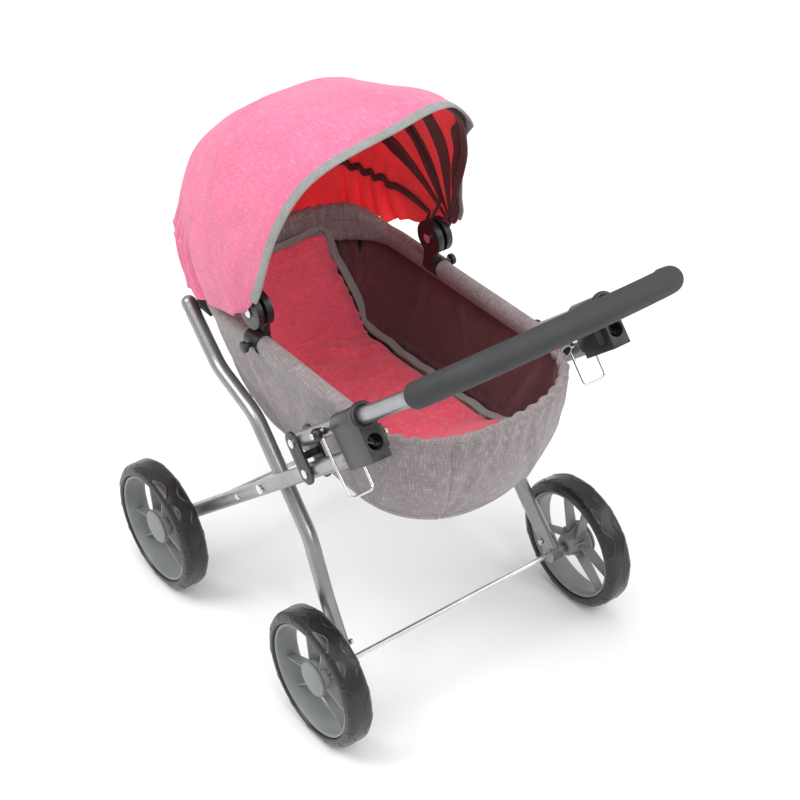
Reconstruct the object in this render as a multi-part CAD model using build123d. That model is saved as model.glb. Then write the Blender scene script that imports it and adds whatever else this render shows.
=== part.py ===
from build123d import *
import math
import os

# Doll stroller: a fabric bassinet with a folding hood on a scissor frame of round steel tubes.
#
# Axes: +X is the stroller's left side, -Y the direction of travel (hood end), +Z up.
# The origin is on the floor, below the middle of the whole object.  Millimetres.

# ---- wheels -------------------------------------------------------------------------------
WHEEL_R = 75.0
TYRE_HALF_W = 14.9
RIM_R = 62.0
RIM_BARREL_WALL = 3.5
RIM_HALF_W = 12.2
HUB_R = 19.4
HUB_BOSS_R = 12.0
HUB_IN_X = -17.6
HUB_OUT_X = 7.0
HUB_CAP_T = 3.2
SPOKE_T = 3.0
SPOKE_GAP_DEG = 17.0
SPOKE_COUNT = 3
BUSH_R = 6.0
TRACK_X = 166.6
REAR_AXLE_Y = 86.3
FRONT_AXLE_Y = -216.56
AXLE_R = 3.0
RUN_CLEAR = 0.05
AXLE_BOSS_R = 9.0
AXLE_END_GAP = 1.0
CUT_REACH = 30.0
RIVET_HEAD_R = 5.0
RIVET_HEAD_T = 2.0

# ---- frame tubes --------------------------------------------------------------------------
TUBE_R = 8.0
TUBE_WALL = 1.2
LEG_X_LOW = 133.9
LEG_LEAN = -0.10
LEG_POINTS = [(-210.0, 341.8), (-152.0, 295.0), (-84.0, 274.0), (16.0, 186.0), (48.0, 130.0)]
LEG_BEND_R = 60.0
HEAD_RIVET_R = 2.5
HEAD_RIVET_BACK = 6.5
HEAD_RIVET_DROP = 5.0
FRONT_TUBE_X = 139.3
TUBE_ANGLE = 39.6
PIVOT_Y = -29.2
PIVOT_R = 3.0

# ---- handle, measured along its leg (s) from the datum point and square to it (t) -----------
DATUM_FROM_AXLE = 315.0
TUBE_PITCH = 31.0
LINK_S = 47.0
LINK_R = 11.5
LINK_PLATE_T = 2.6
HANDLE_LEG_END_S = 272.8
HANDLE_CORNER_R = 68.0
HANDLE_CORNER_DEG = 67.0
GRIP_START_S = 284.0
GRIP_R = 12.0
FRONT_TUBE_END_S = 168.0
BRACKET_S0 = 136.0
BRACKET_S1 = 186.0
BRACKET_HALF_W = 9.9
BAIL_S = 119.0
BAIL_LENGTH = 66.0
BAIL_HALF_W = 13.2
BAIL_WIRE_R = 1.5
BAIL_CORNER_R = 5.0
BAIL_EYE_WALL = 2.0
LINK_GAP = 0.4
LINK_RIVET_HEAD = (4.6, 1.6)
BRACKET_SLEEVE_R = 11.0
BRACKET_DEPTH = 10.8
SADDLE_GAP = 0.4
KNOB_R = 6.0

# ---- bassinet -----------------------------------------------------------------------------
RIM_Z = 368.0
RIM_X = 109.0
RIM_TUBE_R = 6.5
SLEEVE_R = 9.0
RIM_FOOT_Y = 131.0
BASSINET_HEAD_Y = -213.0
BASSINET_TOP_Z = 357.0
BASSINET_FLOOR_Z = 240.0
BASSINET_TOP = (214.0, 392.0)
BASSINET_BOTTOM = (176.0, 318.0)
BASSINET_MID_Y = -14.0
BASSINET_CORNER_R = 78.0
FABRIC_T = 3.0
BOARD_T = 4.0
PAD_T = 16.0
MATTRESS_W = 158.0
MATTRESS_HEAD_Y = -160.0
MATTRESS_FOOT_Y = 137.0
MATTRESS_CORNER_R = 68.0
BACKREST_W = 116.0
BACKREST_H = 108.0
BACKREST_T = 12.0
BACKREST_CORNER_R = 14.0
BACKREST_Y = -150.0
BACKREST_Z = 270.0
BACKREST_LEAN = 20.0

# ---- hood ---------------------------------------------------------------------------------
HOOD_Y = -73.4
HOOD_Z = 403.0
HOOD_HALF_W = 123.0
HOOD_RADIUS = 207.0
HOOD_CORNER_R = 112.0
HOOD_SKIN = 1.2
HOOD_STEP = 2.0
HOOD_HUB_R = 18.0
BOW_R = 1.5
BOW_INSET = 9.0
REAR_BOW_DEG = 170.0
MID_BOW_DEG = 116.0
FRONT_BOW_DEG = 70.0
HUB_PIN_R = 3.0
BRACKET_X = (99.0, 106.0)
MID_RING_X = (106.4, 109.6)
DISC_X = (110.0, 116.6)
HUB_RIVET_X = (98.6, 117.0)
HUB_HEAD_T = 1.4
COLLAR_R = 10.5
COLLAR_LENGTH = 20.0
PANEL_DEG = ((158, 196), (114, 158), (68, 114))

SIDES = (("left", 1), ("right", -1))
U = Vector(0, math.cos(math.radians(TUBE_ANGLE)), math.sin(math.radians(TUBE_ANGLE)))
W = Vector(0, -math.sin(math.radians(TUBE_ANGLE)), math.cos(math.radians(TUBE_ANGLE)))
FRONT_TUBE_ORIGIN = Vector(0, FRONT_AXLE_Y, WHEEL_R) + U * DATUM_FROM_AXLE
HANDLE_ORIGIN = FRONT_TUBE_ORIGIN + W * TUBE_PITCH
PIVOT_S = (PIVOT_Y - FRONT_TUBE_ORIGIN.Y) / U.Y
PIVOT = FRONT_TUBE_ORIGIN + U * PIVOT_S
HANDLE_PLANE = Plane(origin=HANDLE_ORIGIN, x_dir=(1, 0, 0), z_dir=W)


def save(name, shape):
    """Write one node; several separate solids become one compound."""
    shape.label = name
    export_step(shape, os.path.join("parts", name + ".step"))


def for_side(shape, side):
    """The left piece as it is, or its mirror image for the right side."""
    return shape if side > 0 else mirror(shape, about=Plane.YZ)


def both_sides(shape):
    return Compound(children=[shape, mirror(shape, about=Plane.YZ)])


def x_rod(radius, x0, x1, y, z):
    """A cylinder along X from x0 to x1."""
    middle = (x0 + x1) / 2
    return Pos(middle, y, z) * Rot(0, 90, 0) * Cylinder(radius, abs(x1 - x0))


def rod(path, radius):
    return sweep(Plane(origin=path @ 0, z_dir=path % 0) * Circle(radius), path=path)


def tube(path, radius, wall):
    return rod(path, radius) - rod(path, radius - wall)


def along(origin, s, t=0.0, x=0.0):
    """The point s along the frame tubes and t above them, at width x."""
    return origin + U * s + W * t + Vector(x, 0, 0)


def tilted_box(x0, x1, s0, s1, t0, t1):
    """A block square to the handle tube, between the given x, s and t limits."""
    centre = along(HANDLE_ORIGIN, (s0 + s1) / 2, (t0 + t1) / 2, (x0 + x1) / 2)
    plane = Plane(origin=centre, x_dir=(1, 0, 0), z_dir=W)
    return plane * Box(x1 - x0, s1 - s0, t1 - t0)


# ---- wheels -------------------------------------------------------------------------------
def revolve_about_x(points):
    """Turn a closed (x, radius) outline about the X axis."""
    outline = make_face(Polyline(*points, close=True))
    return revolve(outline, axis=Axis.X, revolution_arc=360)


def make_tyre():
    """A round-shouldered band with a shallow centre tread, seated on the rim."""
    crown = 2.0
    shoulder = 9.0
    edge_in, edge_drop = 1.4, 4.6
    tread_half = 6.0
    outline = [
        (-TYRE_HALF_W, RIM_R), (-TYRE_HALF_W, WHEEL_R - shoulder),
        (-TYRE_HALF_W + edge_in, WHEEL_R - edge_drop),
        (-TYRE_HALF_W + edge_drop, WHEEL_R - crown),
        (-tread_half, WHEEL_R), (tread_half, WHEEL_R),
        (TYRE_HALF_W - edge_drop, WHEEL_R - crown),
        (TYRE_HALF_W - edge_in, WHEEL_R - edge_drop),
        (TYRE_HALF_W, WHEEL_R - shoulder), (TYRE_HALF_W, RIM_R),
    ]
    return revolve_about_x(outline)


def make_rim():
    """A barrel, a hub boss and three spokes, each of two thin walls, cut from one moulding."""
    barrel = Rot(0, 90, 0) * (Cylinder(RIM_R, 2 * RIM_HALF_W)
                              - Cylinder(RIM_R - RIM_BARREL_WALL, 2 * RIM_HALF_W))
    hub_length = HUB_OUT_X - HUB_IN_X
    hub_middle = (HUB_OUT_X + HUB_IN_X) / 2
    boss = Pos(hub_middle, 0, 0) * Rot(0, 90, 0) * Cylinder(HUB_BOSS_R, hub_length)
    cup_depth = 8.0
    cup = Pos(HUB_OUT_X - cup_depth / 2, 0, 0) * Rot(0, 90, 0) * Cylinder(HUB_R, cup_depth)
    spoke_length = RIM_R - RIM_BARREL_WALL / 2
    spoke_width_x = 13.0
    wall = Pos(0, 0, spoke_length / 2) * Box(spoke_width_x, SPOKE_T, spoke_length)
    rim = barrel + boss + cup
    for number in range(SPOKE_COUNT):
        for lean in (-SPOKE_GAP_DEG, SPOKE_GAP_DEG):
            rim += Rot(number * 360 / SPOKE_COUNT + lean, 0, 0) * wall
    bore = Rot(0, 90, 0) * Cylinder(BUSH_R, 2 * WHEEL_R)
    return rim - bore


def make_hub_cap():
    """A plain domed disc that covers the axle's end."""
    edge = 1.2
    outline = [(HUB_OUT_X, 0), (HUB_OUT_X, HUB_R), (HUB_OUT_X + HUB_CAP_T - edge, HUB_R),
               (HUB_OUT_X + HUB_CAP_T, HUB_R - 2 * edge), (HUB_OUT_X + HUB_CAP_T + edge, 0)]
    return revolve_about_x(outline)


def make_bush():
    length = HUB_OUT_X - HUB_IN_X
    sleeve = Cylinder(BUSH_R, length) - Cylinder(AXLE_R + RUN_CLEAR, length)
    return Pos((HUB_OUT_X + HUB_IN_X) / 2, 0, 0) * Rot(0, 90, 0) * sleeve


def save_wheels():
    pieces = {"tyre": make_tyre(), "rim": make_rim(), "hub_cap": make_hub_cap(),
              "bush": make_bush()}
    for axle, axle_y in (("rear", REAR_AXLE_Y), ("front", FRONT_AXLE_Y)):
        for side_name, side in SIDES:
            for piece, shape in pieces.items():
                placed = Pos(TRACK_X, axle_y, WHEEL_R) * shape
                save(f"{axle}_{side_name}_{piece}", for_side(placed, side))


# ---- rear legs and bassinet supports --------------------------------------------------------
def leg_x(z):
    return LEG_X_LOW + LEG_LEAN * (z - WHEEL_R)


def leg_path():
    """The S-bent leg in its own plane, which leans inwards towards the top."""
    stretch = math.hypot(1, LEG_LEAN)
    plane = Plane(origin=(LEG_X_LOW, 0, WHEEL_R), x_dir=(0, 1, 0), z_dir=(1, 0, -LEG_LEAN))
    flat = [(y, (z - WHEEL_R) * stretch) for y, z in LEG_POINTS + [(REAR_AXLE_Y, WHEEL_R)]]
    return plane * FilletPolyline(*flat, radius=LEG_BEND_R)


def make_leg():
    """Bent steel tube with a flat-ended boss at the axle and a bored hole at the scissor pivot."""
    leg = tube(leg_path(), TUBE_R, TUBE_WALL)
    boss_half = 7.0
    pivot_out = 8.4
    pivot_wall = 2.5
    leg += x_rod(AXLE_BOSS_R, LEG_X_LOW - boss_half, LEG_X_LOW + boss_half, REAR_AXLE_Y, WHEEL_R)
    leg -= x_rod(AXLE_R, LEG_X_LOW - CUT_REACH, LEG_X_LOW + CUT_REACH, REAR_AXLE_Y, WHEEL_R)
    pivot_x = leg_x(PIVOT.Z)
    leg += x_rod(PIVOT_R + pivot_wall, pivot_x - boss_half, pivot_x + pivot_out, PIVOT.Y, PIVOT.Z)
    leg -= x_rod(PIVOT_R + RUN_CLEAR, pivot_x - CUT_REACH, pivot_x + CUT_REACH, PIVOT.Y, PIVOT.Z)
    top_y, top_z = LEG_POINTS[0]
    cap_x = leg_x(top_z)
    leg += Pos(cap_x, top_y, top_z) * Sphere(TUBE_R)
    return leg - head_rivet()


def head_rivet():
    """The rivet that ties the leg's top end to the bassinet's head bracket."""
    top_y, top_z = LEG_POINTS[0]
    x = leg_x(top_z)
    inner_x = x - TUBE_R - 1.0
    outer_x = x + TUBE_R + 1.2
    return x_rod(HEAD_RIVET_R, inner_x, outer_x, top_y + HEAD_RIVET_BACK, top_z - HEAD_RIVET_DROP)


def save_rear_frame():
    leg = make_leg()
    for side_name, side in SIDES:
        save(f"rear_leg_{side_name}", for_side(leg, side))
    half = TRACK_X + HUB_OUT_X - AXLE_END_GAP
    save("rear_axle", x_rod(AXLE_R, -half, half, REAR_AXLE_Y, WHEEL_R))
    bolt_r = 3.0
    bolt_x = (LEG_X_LOW - 12.4, LEG_X_LOW - 9.8)
    bolt_y = REAR_AXLE_Y - 7.5
    bolt_z = WHEEL_R + 15.0
    bolt = x_rod(bolt_r, *bolt_x, bolt_y, bolt_z)
    save("rear_axle_bolts", both_sides(bolt))


# ---- front tubes ----------------------------------------------------------------------------
def make_front_tube():
    """Straight tube from the front axle up into the joint bracket."""
    start = along(FRONT_TUBE_ORIGIN, -DATUM_FROM_AXLE, 0, FRONT_TUBE_X)
    end = along(FRONT_TUBE_ORIGIN, FRONT_TUBE_END_S, 0, FRONT_TUBE_X)
    piece = tube(Line(start, end), TUBE_R, TUBE_WALL)
    inner = FRONT_TUBE_X - CUT_REACH
    outer = FRONT_TUBE_X + CUT_REACH
    piece += x_rod(AXLE_BOSS_R, FRONT_TUBE_X - AXLE_BOSS_R, FRONT_TUBE_X + AXLE_BOSS_R,
                   start.Y, start.Z)
    piece -= x_rod(AXLE_R, inner, outer, start.Y, start.Z)
    link = along(FRONT_TUBE_ORIGIN, LINK_S)
    piece -= x_rod(PIVOT_R, inner, outer, PIVOT.Y, PIVOT.Z)
    piece -= x_rod(PIVOT_R + RUN_CLEAR, inner, outer, link.Y, link.Z)
    return piece, start


def save_front_frame():
    piece, axle = make_front_tube()
    for side_name, side in SIDES:
        save(f"front_tube_{side_name}", for_side(piece, side))
    half = TRACK_X + HUB_OUT_X - AXLE_END_GAP
    save("front_axle", x_rod(AXLE_R, -half, half, axle.Y, axle.Z))
    inner_x = leg_x(PIVOT.Z) - 10.5
    outer_x = FRONT_TUBE_X + TUBE_R + 0.6
    pin = x_rod(PIVOT_R, inner_x, outer_x, PIVOT.Y, PIVOT.Z)
    pin += x_rod(RIVET_HEAD_R, inner_x - RIVET_HEAD_T, inner_x, PIVOT.Y, PIVOT.Z)
    pin += x_rod(RIVET_HEAD_R, outer_x, outer_x + RIVET_HEAD_T, PIVOT.Y, PIVOT.Z)
    save("pivot_rivets", both_sides(pin))
    washer_r = 6.5
    washer_x = (FRONT_TUBE_X - 11.6, FRONT_TUBE_X - 8.2)
    washer = x_rod(washer_r, *washer_x, PIVOT.Y, PIVOT.Z)
    washer -= x_rod(PIVOT_R, FRONT_TUBE_X - CUT_REACH, FRONT_TUBE_X, PIVOT.Y, PIVOT.Z)
    save("pivot_washers", both_sides(washer))
    rivet_below_pivot = 62.0
    stub_r, stub_t = 3.2, 1.8
    stub = along(FRONT_TUBE_ORIGIN, PIVOT_S - rivet_below_pivot)
    tube_face = FRONT_TUBE_X + TUBE_R
    rivet = x_rod(stub_r, tube_face, tube_face + stub_t, stub.Y, stub.Z)
    save("front_tube_rivets", both_sides(rivet))


# ---- links between the tubes -----------------------------------------------------------------
def link_plate(x0, x1):
    """A stadium-shaped cheek that spans both tubes."""
    upper = along(HANDLE_ORIGIN, LINK_S)
    lower = along(FRONT_TUBE_ORIGIN, LINK_S)
    plate = x_rod(LINK_R, x0, x1, upper.Y, upper.Z) + x_rod(LINK_R, x0, x1, lower.Y, lower.Z)
    return plate + tilted_box(x0, x1, LINK_S - LINK_R, LINK_S + LINK_R, -TUBE_PITCH, 0)


def save_links():
    gap = TUBE_R + LINK_GAP
    outer = FRONT_TUBE_X + gap
    inner = FRONT_TUBE_X - gap
    link = link_plate(outer, outer + LINK_PLATE_T) + link_plate(inner - LINK_PLATE_T, inner)
    web_half = 5.0
    web_half_t = 3.5
    web_t = TUBE_PITCH / 2
    head_r, head_t = LINK_RIVET_HEAD
    link += tilted_box(inner, outer, LINK_S - web_half, LINK_S + web_half,
                       -web_t - web_half_t, -web_t + web_half_t)
    rivets = []
    for origin in (HANDLE_ORIGIN, FRONT_TUBE_ORIGIN):
        at = along(origin, LINK_S)
        link -= x_rod(PIVOT_R, inner - CUT_REACH, outer + CUT_REACH, at.Y, at.Z)
        pin_x0 = inner - LINK_PLATE_T
        pin_x1 = outer + LINK_PLATE_T
        pin = x_rod(PIVOT_R, pin_x0, pin_x1, at.Y, at.Z)
        pin += x_rod(head_r, pin_x1, pin_x1 + head_t, at.Y, at.Z)
        pin += x_rod(head_r, pin_x0 - head_t, pin_x0, at.Y, at.Z)
        rivets += [pin, mirror(pin, about=Plane.YZ)]
    for side_name, side in SIDES:
        save(f"link_{side_name}", for_side(link, side))
    save("link_rivets", Compound(children=rivets))


# ---- handle ---------------------------------------------------------------------------------
def handle_half(start_s, side):
    """Half the handle's centreline: leg, tight corner, then a slow arc to the middle."""
    turn = math.radians(HANDLE_CORNER_DEG)
    middle = math.radians(90)
    bow_r = (FRONT_TUBE_X - HANDLE_CORNER_R * (1 - math.cos(turn))) / math.cos(turn)

    def corner(angle):
        """A point of the corner arc after turning by angle."""
        inwards = HANDLE_CORNER_R * (1 - math.cos(angle))
        return Vector(side * (FRONT_TUBE_X - inwards),
                      HANDLE_LEG_END_S + HANDLE_CORNER_R * math.sin(angle))

    def bow(angle):
        """A point of the crossbar arc, which ends square to the middle plane."""
        start = corner(turn)
        return Vector(start.X - side * bow_r * (math.cos(turn) - math.cos(angle)),
                      start.Y + bow_r * (math.sin(angle) - math.sin(turn)))

    past_leg = max(0.0, start_s - HANDLE_LEG_END_S)
    begin = math.asin(past_leg / HANDLE_CORNER_R)
    edges = [ThreePointArc(corner(begin), corner((begin + turn) / 2), corner(turn)),
             ThreePointArc(corner(turn), bow((turn + middle) / 2), bow(middle))]
    if past_leg == 0.0:
        edges.insert(0, Line(Vector(side * FRONT_TUBE_X, start_s), corner(0)))
    return edges


def handle_path(start_s):
    flat = Wire(handle_half(start_s, 1) + handle_half(start_s, -1))
    return HANDLE_PLANE * flat


def sweep_handle(start_s, radius):
    """Sweep a disc along the handle, from the left leg to the right one."""
    path = handle_path(start_s)
    return sweep(Plane(origin=path @ 0, z_dir=path % 0) * Circle(radius), path=path)


def joint_bracket():
    """Moulded bracket: a closed sleeve on the handle tube above a saddle on the front tube."""
    x = FRONT_TUBE_X
    half = BRACKET_HALF_W
    past = 5.0
    lug_out = 7.5
    lug_s = (BRACKET_S0 + 8, BRACKET_S1 - 10)
    lug_t = (-34, -12)
    recess_r = 7.8
    recess_t = -TUBE_PITCH + 6.0
    saddle_r = TUBE_R + SADDLE_GAP
    saddle_end = FRONT_TUBE_END_S + 2.0

    def bar(origin, s0, s1, t, radius):
        """A round bar along the tubes from s0 to s1."""
        return rod(Line(along(origin, s0, t, x), along(origin, s1, t, x)), radius)

    body = tilted_box(x - half, x + half, BRACKET_S0, BRACKET_S1, -TUBE_PITCH - BRACKET_DEPTH, 0)
    body += bar(HANDLE_ORIGIN, BRACKET_S0, BRACKET_S1, 0, BRACKET_SLEEVE_R)
    body += tilted_box(x - half - lug_out, x - half, *lug_s, *lug_t)
    body -= bar(HANDLE_ORIGIN, BRACKET_S0 - past, BRACKET_S1 + past, 0, TUBE_R)
    body -= bar(FRONT_TUBE_ORIGIN, BRACKET_S0 - past, saddle_end, 0, saddle_r)
    body -= tilted_box(x - saddle_r, x + saddle_r, BRACKET_S0 - past, saddle_end,
                       -TUBE_PITCH - 2 * BRACKET_DEPTH, -TUBE_PITCH)
    body -= bar(HANDLE_ORIGIN, saddle_end - 1, BRACKET_S1 + past, recess_t, recess_r)
    return body


def save_handle():
    bar = sweep_handle(LINK_S, TUBE_R) - sweep_handle(LINK_S, TUBE_R - TUBE_WALL)
    knob_at = along(HANDLE_ORIGIN, BAIL_S)
    at = along(HANDLE_ORIGIN, LINK_S)
    for side in (1, -1):
        x = side * FRONT_TUBE_X
        bar += Pos(x, at.Y, at.Z) * Sphere(TUBE_R)
        bar -= x_rod(PIVOT_R + RUN_CLEAR, x - CUT_REACH, x + CUT_REACH, at.Y, at.Z)
        bar -= x_rod(PIVOT_R, x - CUT_REACH, x + CUT_REACH, knob_at.Y, knob_at.Z)
    save("handle_tube", bar)
    save("handle_grip", sweep_handle(GRIP_START_S, GRIP_R) - sweep_handle(GRIP_START_S, TUBE_R))
    bracket = joint_bracket()
    for side_name, side in SIDES:
        save(f"joint_bracket_{side_name}", for_side(bracket, side))
    wire_gap = 0.4
    knob_proud = 2.6
    inner_head_t = 2.4
    reach = BAIL_HALF_W + BAIL_WIRE_R + wire_gap
    inner_x = FRONT_TUBE_X - reach
    outer_x = FRONT_TUBE_X + reach
    pin = x_rod(PIVOT_R, inner_x, outer_x, knob_at.Y, knob_at.Z)
    knob = Pos(outer_x + knob_proud, knob_at.Y, knob_at.Z) * Sphere(KNOB_R)
    knob -= x_rod(2 * KNOB_R, FRONT_TUBE_X, outer_x, knob_at.Y, knob_at.Z)
    pin += knob
    pin += x_rod(RIVET_HEAD_R, inner_x - inner_head_t, inner_x, knob_at.Y, knob_at.Z)
    save("bail_knobs", both_sides(pin))


def save_bails():
    """Wire loop that hangs from the knob pin and passes round the front tube."""
    upper = along(HANDLE_ORIGIN, BAIL_S)
    plane = Plane(origin=upper, x_dir=(1, 0, 0), z_dir=U)
    eye_r = PIVOT_R + RUN_CLEAR + BAIL_EYE_WALL
    eye_half = BAIL_WIRE_R - 0.2
    x0 = FRONT_TUBE_X - BAIL_HALF_W
    x1 = FRONT_TUBE_X + BAIL_HALF_W
    down = 1 if plane.y_dir.dot(W) < 0 else -1
    root = down * (eye_r - 0.8)
    corners = [(x0, root), (x0, down * BAIL_LENGTH), (x1, down * BAIL_LENGTH), (x1, root)]
    wire = rod(plane * FilletPolyline(*corners, radius=BAIL_CORNER_R), BAIL_WIRE_R)
    for x in (x0, x1):
        wire += x_rod(eye_r, x - eye_half, x + eye_half, upper.Y, upper.Z)
        wire -= x_rod(PIVOT_R + RUN_CLEAR, x - eye_r, x + eye_r, upper.Y, upper.Z)
    for side_name, side in SIDES:
        save(f"bail_{side_name}", for_side(wire, side))


# ---- bassinet -------------------------------------------------------------------------------
def rim_path():
    """The bassinet's rim: a U bend, open at the foot end."""
    points = [(RIM_X, RIM_FOOT_Y, RIM_Z), (RIM_X, BASSINET_HEAD_Y, RIM_Z),
              (-RIM_X, BASSINET_HEAD_Y, RIM_Z), (-RIM_X, RIM_FOOT_Y, RIM_Z)]
    return FilletPolyline(*points, radius=BASSINET_CORNER_R)


def save_rim():
    save("rim_tube", tube(rim_path(), RIM_TUBE_R, TUBE_WALL))
    sleeve_start = HOOD_Y + 17.0
    sleeve_end = RIM_FOOT_Y - 12.0
    axis = Line((RIM_X, sleeve_start, RIM_Z), (RIM_X, sleeve_end, RIM_Z))
    sleeve = rod(axis, SLEEVE_R) - rod(axis, RIM_TUBE_R)
    for side_name, side in SIDES:
        save(f"rim_sleeve_{side_name}", for_side(sleeve, side))
    pin_y = RIM_FOOT_Y - 5.5
    pin_r, pin_length = 3.0, 5.0
    outer_x = RIM_X + RIM_TUBE_R
    inner_x = RIM_X - RIM_TUBE_R
    pin = x_rod(pin_r, outer_x, outer_x + pin_length, pin_y, RIM_Z)
    pin += x_rod(RIVET_HEAD_R, inner_x - RIVET_HEAD_T, inner_x, pin_y, RIM_Z)
    save("rim_end_pins", both_sides(pin))


def bassinet_block(bottom_z, top_z, inset):
    """Lofted tub between two rounded rectangles, drawn in by inset."""
    share = (bottom_z - BASSINET_FLOOR_Z) / (BASSINET_TOP_Z - BASSINET_FLOOR_Z)
    low_w = BASSINET_BOTTOM[0] + share * (BASSINET_TOP[0] - BASSINET_BOTTOM[0])
    low_l = BASSINET_BOTTOM[1] + share * (BASSINET_TOP[1] - BASSINET_BOTTOM[1])
    faces = []
    for width, length, z in ((low_w, low_l, bottom_z), (BASSINET_TOP[0], BASSINET_TOP[1], top_z)):
        outline = RectangleRounded(width - 2 * inset, length - 2 * inset, BASSINET_CORNER_R - inset)
        faces.append(Pos(0, BASSINET_MID_Y, z) * outline)
    return loft(faces)


def save_bassinet():
    outer = bassinet_block(BASSINET_FLOOR_Z, BASSINET_TOP_Z, 0)
    floor = BASSINET_FLOOR_Z + FABRIC_T
    inner = bassinet_block(floor, BASSINET_TOP_Z, FABRIC_T)
    save("bassinet_shell", outer - inner)
    board_inset = 4.0
    layer_gap = 0.3
    board = RectangleRounded(BASSINET_BOTTOM[0] - 2 * board_inset,
                             BASSINET_BOTTOM[1] - 2 * board_inset,
                             BASSINET_CORNER_R - board_inset)
    board_z = floor + layer_gap
    save("base_board", Pos(0, BASSINET_MID_Y, board_z) * extrude(board, BOARD_T))
    pad_z = board_z + BOARD_T + layer_gap
    bed = RectangleRounded(MATTRESS_W, MATTRESS_FOOT_Y - MATTRESS_HEAD_Y, MATTRESS_CORNER_R)
    bed_y = (MATTRESS_FOOT_Y + MATTRESS_HEAD_Y) / 2
    save("mattress", Pos(0, bed_y, pad_z) * extrude(bed, PAD_T))
    rest = extrude(RectangleRounded(BACKREST_W, BACKREST_H, BACKREST_CORNER_R), BACKREST_T)
    stood = Pos(0, BACKREST_Y, BACKREST_Z) * Rot(BACKREST_LEAN - 90, 0, 0)
    save("backrest_pad", stood * Pos(0, -BACKREST_H / 2, -BACKREST_T / 2) * rest)


def save_head_brackets():
    """Plastic block that ties the leg's top end to the rim tube's head corner."""
    top_y, top_z = LEG_POINTS[0]
    x = leg_x(top_z)
    block_t, block_side = 10.0, 26.0
    block_x = x - TUBE_R - block_t / 2 - 0.5
    block_y = top_y + block_side / 2 + 1.0
    block = Pos(block_x, block_y, top_z + 6.0) * Box(block_t, block_side, block_side)
    block -= rod(rim_path(), RIM_TUBE_R)
    save("head_rivets", both_sides(head_rivet()))
    block -= head_rivet()
    for side_name, side in SIDES:
        save(f"head_bracket_{side_name}", for_side(block, side))


# ---- hood -----------------------------------------------------------------------------------
def hood_section(inset):
    """Half of the hood's arch in the (x, radius) plane, inset from the outermost skin."""
    w = HOOD_HALF_W - inset
    h = HOOD_RADIUS - inset
    r = HOOD_CORNER_R - inset
    diagonal = r * math.sin(math.radians(45))
    corner = (w - r + diagonal, h - r + diagonal)
    return w, h, r, corner


def hood_profile(inset, hub):
    """Arch outline from one side to the other, both ends at the hub's radius."""
    w, h, r, corner = hood_section(inset)
    return [Line((-w, hub), (-w, h - r)),
            ThreePointArc((-w, h - r), (-corner[0], corner[1]), (-w + r, h)),
            Line((-w + r, h), (w - r, h)),
            ThreePointArc((w - r, h), corner, (w, h - r)),
            Line((w, h - r), (w, hub))]


def hood_panel(layer, start_deg, end_deg):
    """A thin shell turned about the hood's axis between two angles from the horizontal."""
    hub = HOOD_HUB_R + 4.0
    outer = hood_profile(layer * HOOD_STEP, hub)
    inner = hood_profile(layer * HOOD_STEP + HOOD_SKIN, hub)
    ends = [Line(outer[0] @ 0, inner[0] @ 0), Line(outer[-1] @ 1, inner[-1] @ 1)]
    face = make_face(Wire(outer + inner + ends))
    skin = revolve(face, axis=Axis.X, revolution_arc=end_deg - start_deg)
    return Pos(0, HOOD_Y, HOOD_Z) * Rot(start_deg, 0, 0) * skin


def hood_bow(angle, hub_x):
    """Wire bow in a plane through the hood's axis, its ends set inwards to the hub at hub_x."""
    w, h, r, corner = hood_section(BOW_INSET)
    root = 9.0
    step_low = HOOD_HUB_R + 7.0
    step_high = HOOD_HUB_R + 18.0
    path = Wire([
        Line((hub_x, root), (hub_x, step_low)), Line((hub_x, step_low), (w, step_high)),
        Line((w, step_high), (w, h - r)),
        ThreePointArc((w, h - r), corner, (w - r, h)), Line((w - r, h), (-w + r, h)),
        ThreePointArc((-w + r, h), (-corner[0], corner[1]), (-w, h - r)),
        Line((-w, h - r), (-w, step_high)), Line((-w, step_high), (-hub_x, step_low)),
        Line((-hub_x, step_low), (-hub_x, root))])
    bow = sweep(Plane(origin=(hub_x, root, 0), z_dir=(0, 1, 0)) * Circle(BOW_R), path=path,
                transition=Transition.ROUND)
    return Pos(0, HOOD_Y, HOOD_Z) * Rot(angle, 0, 0) * bow


def hub_disc(x0, x1, radius=HOOD_HUB_R):
    return x_rod(radius, x0, x1, HOOD_Y, HOOD_Z)


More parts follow.
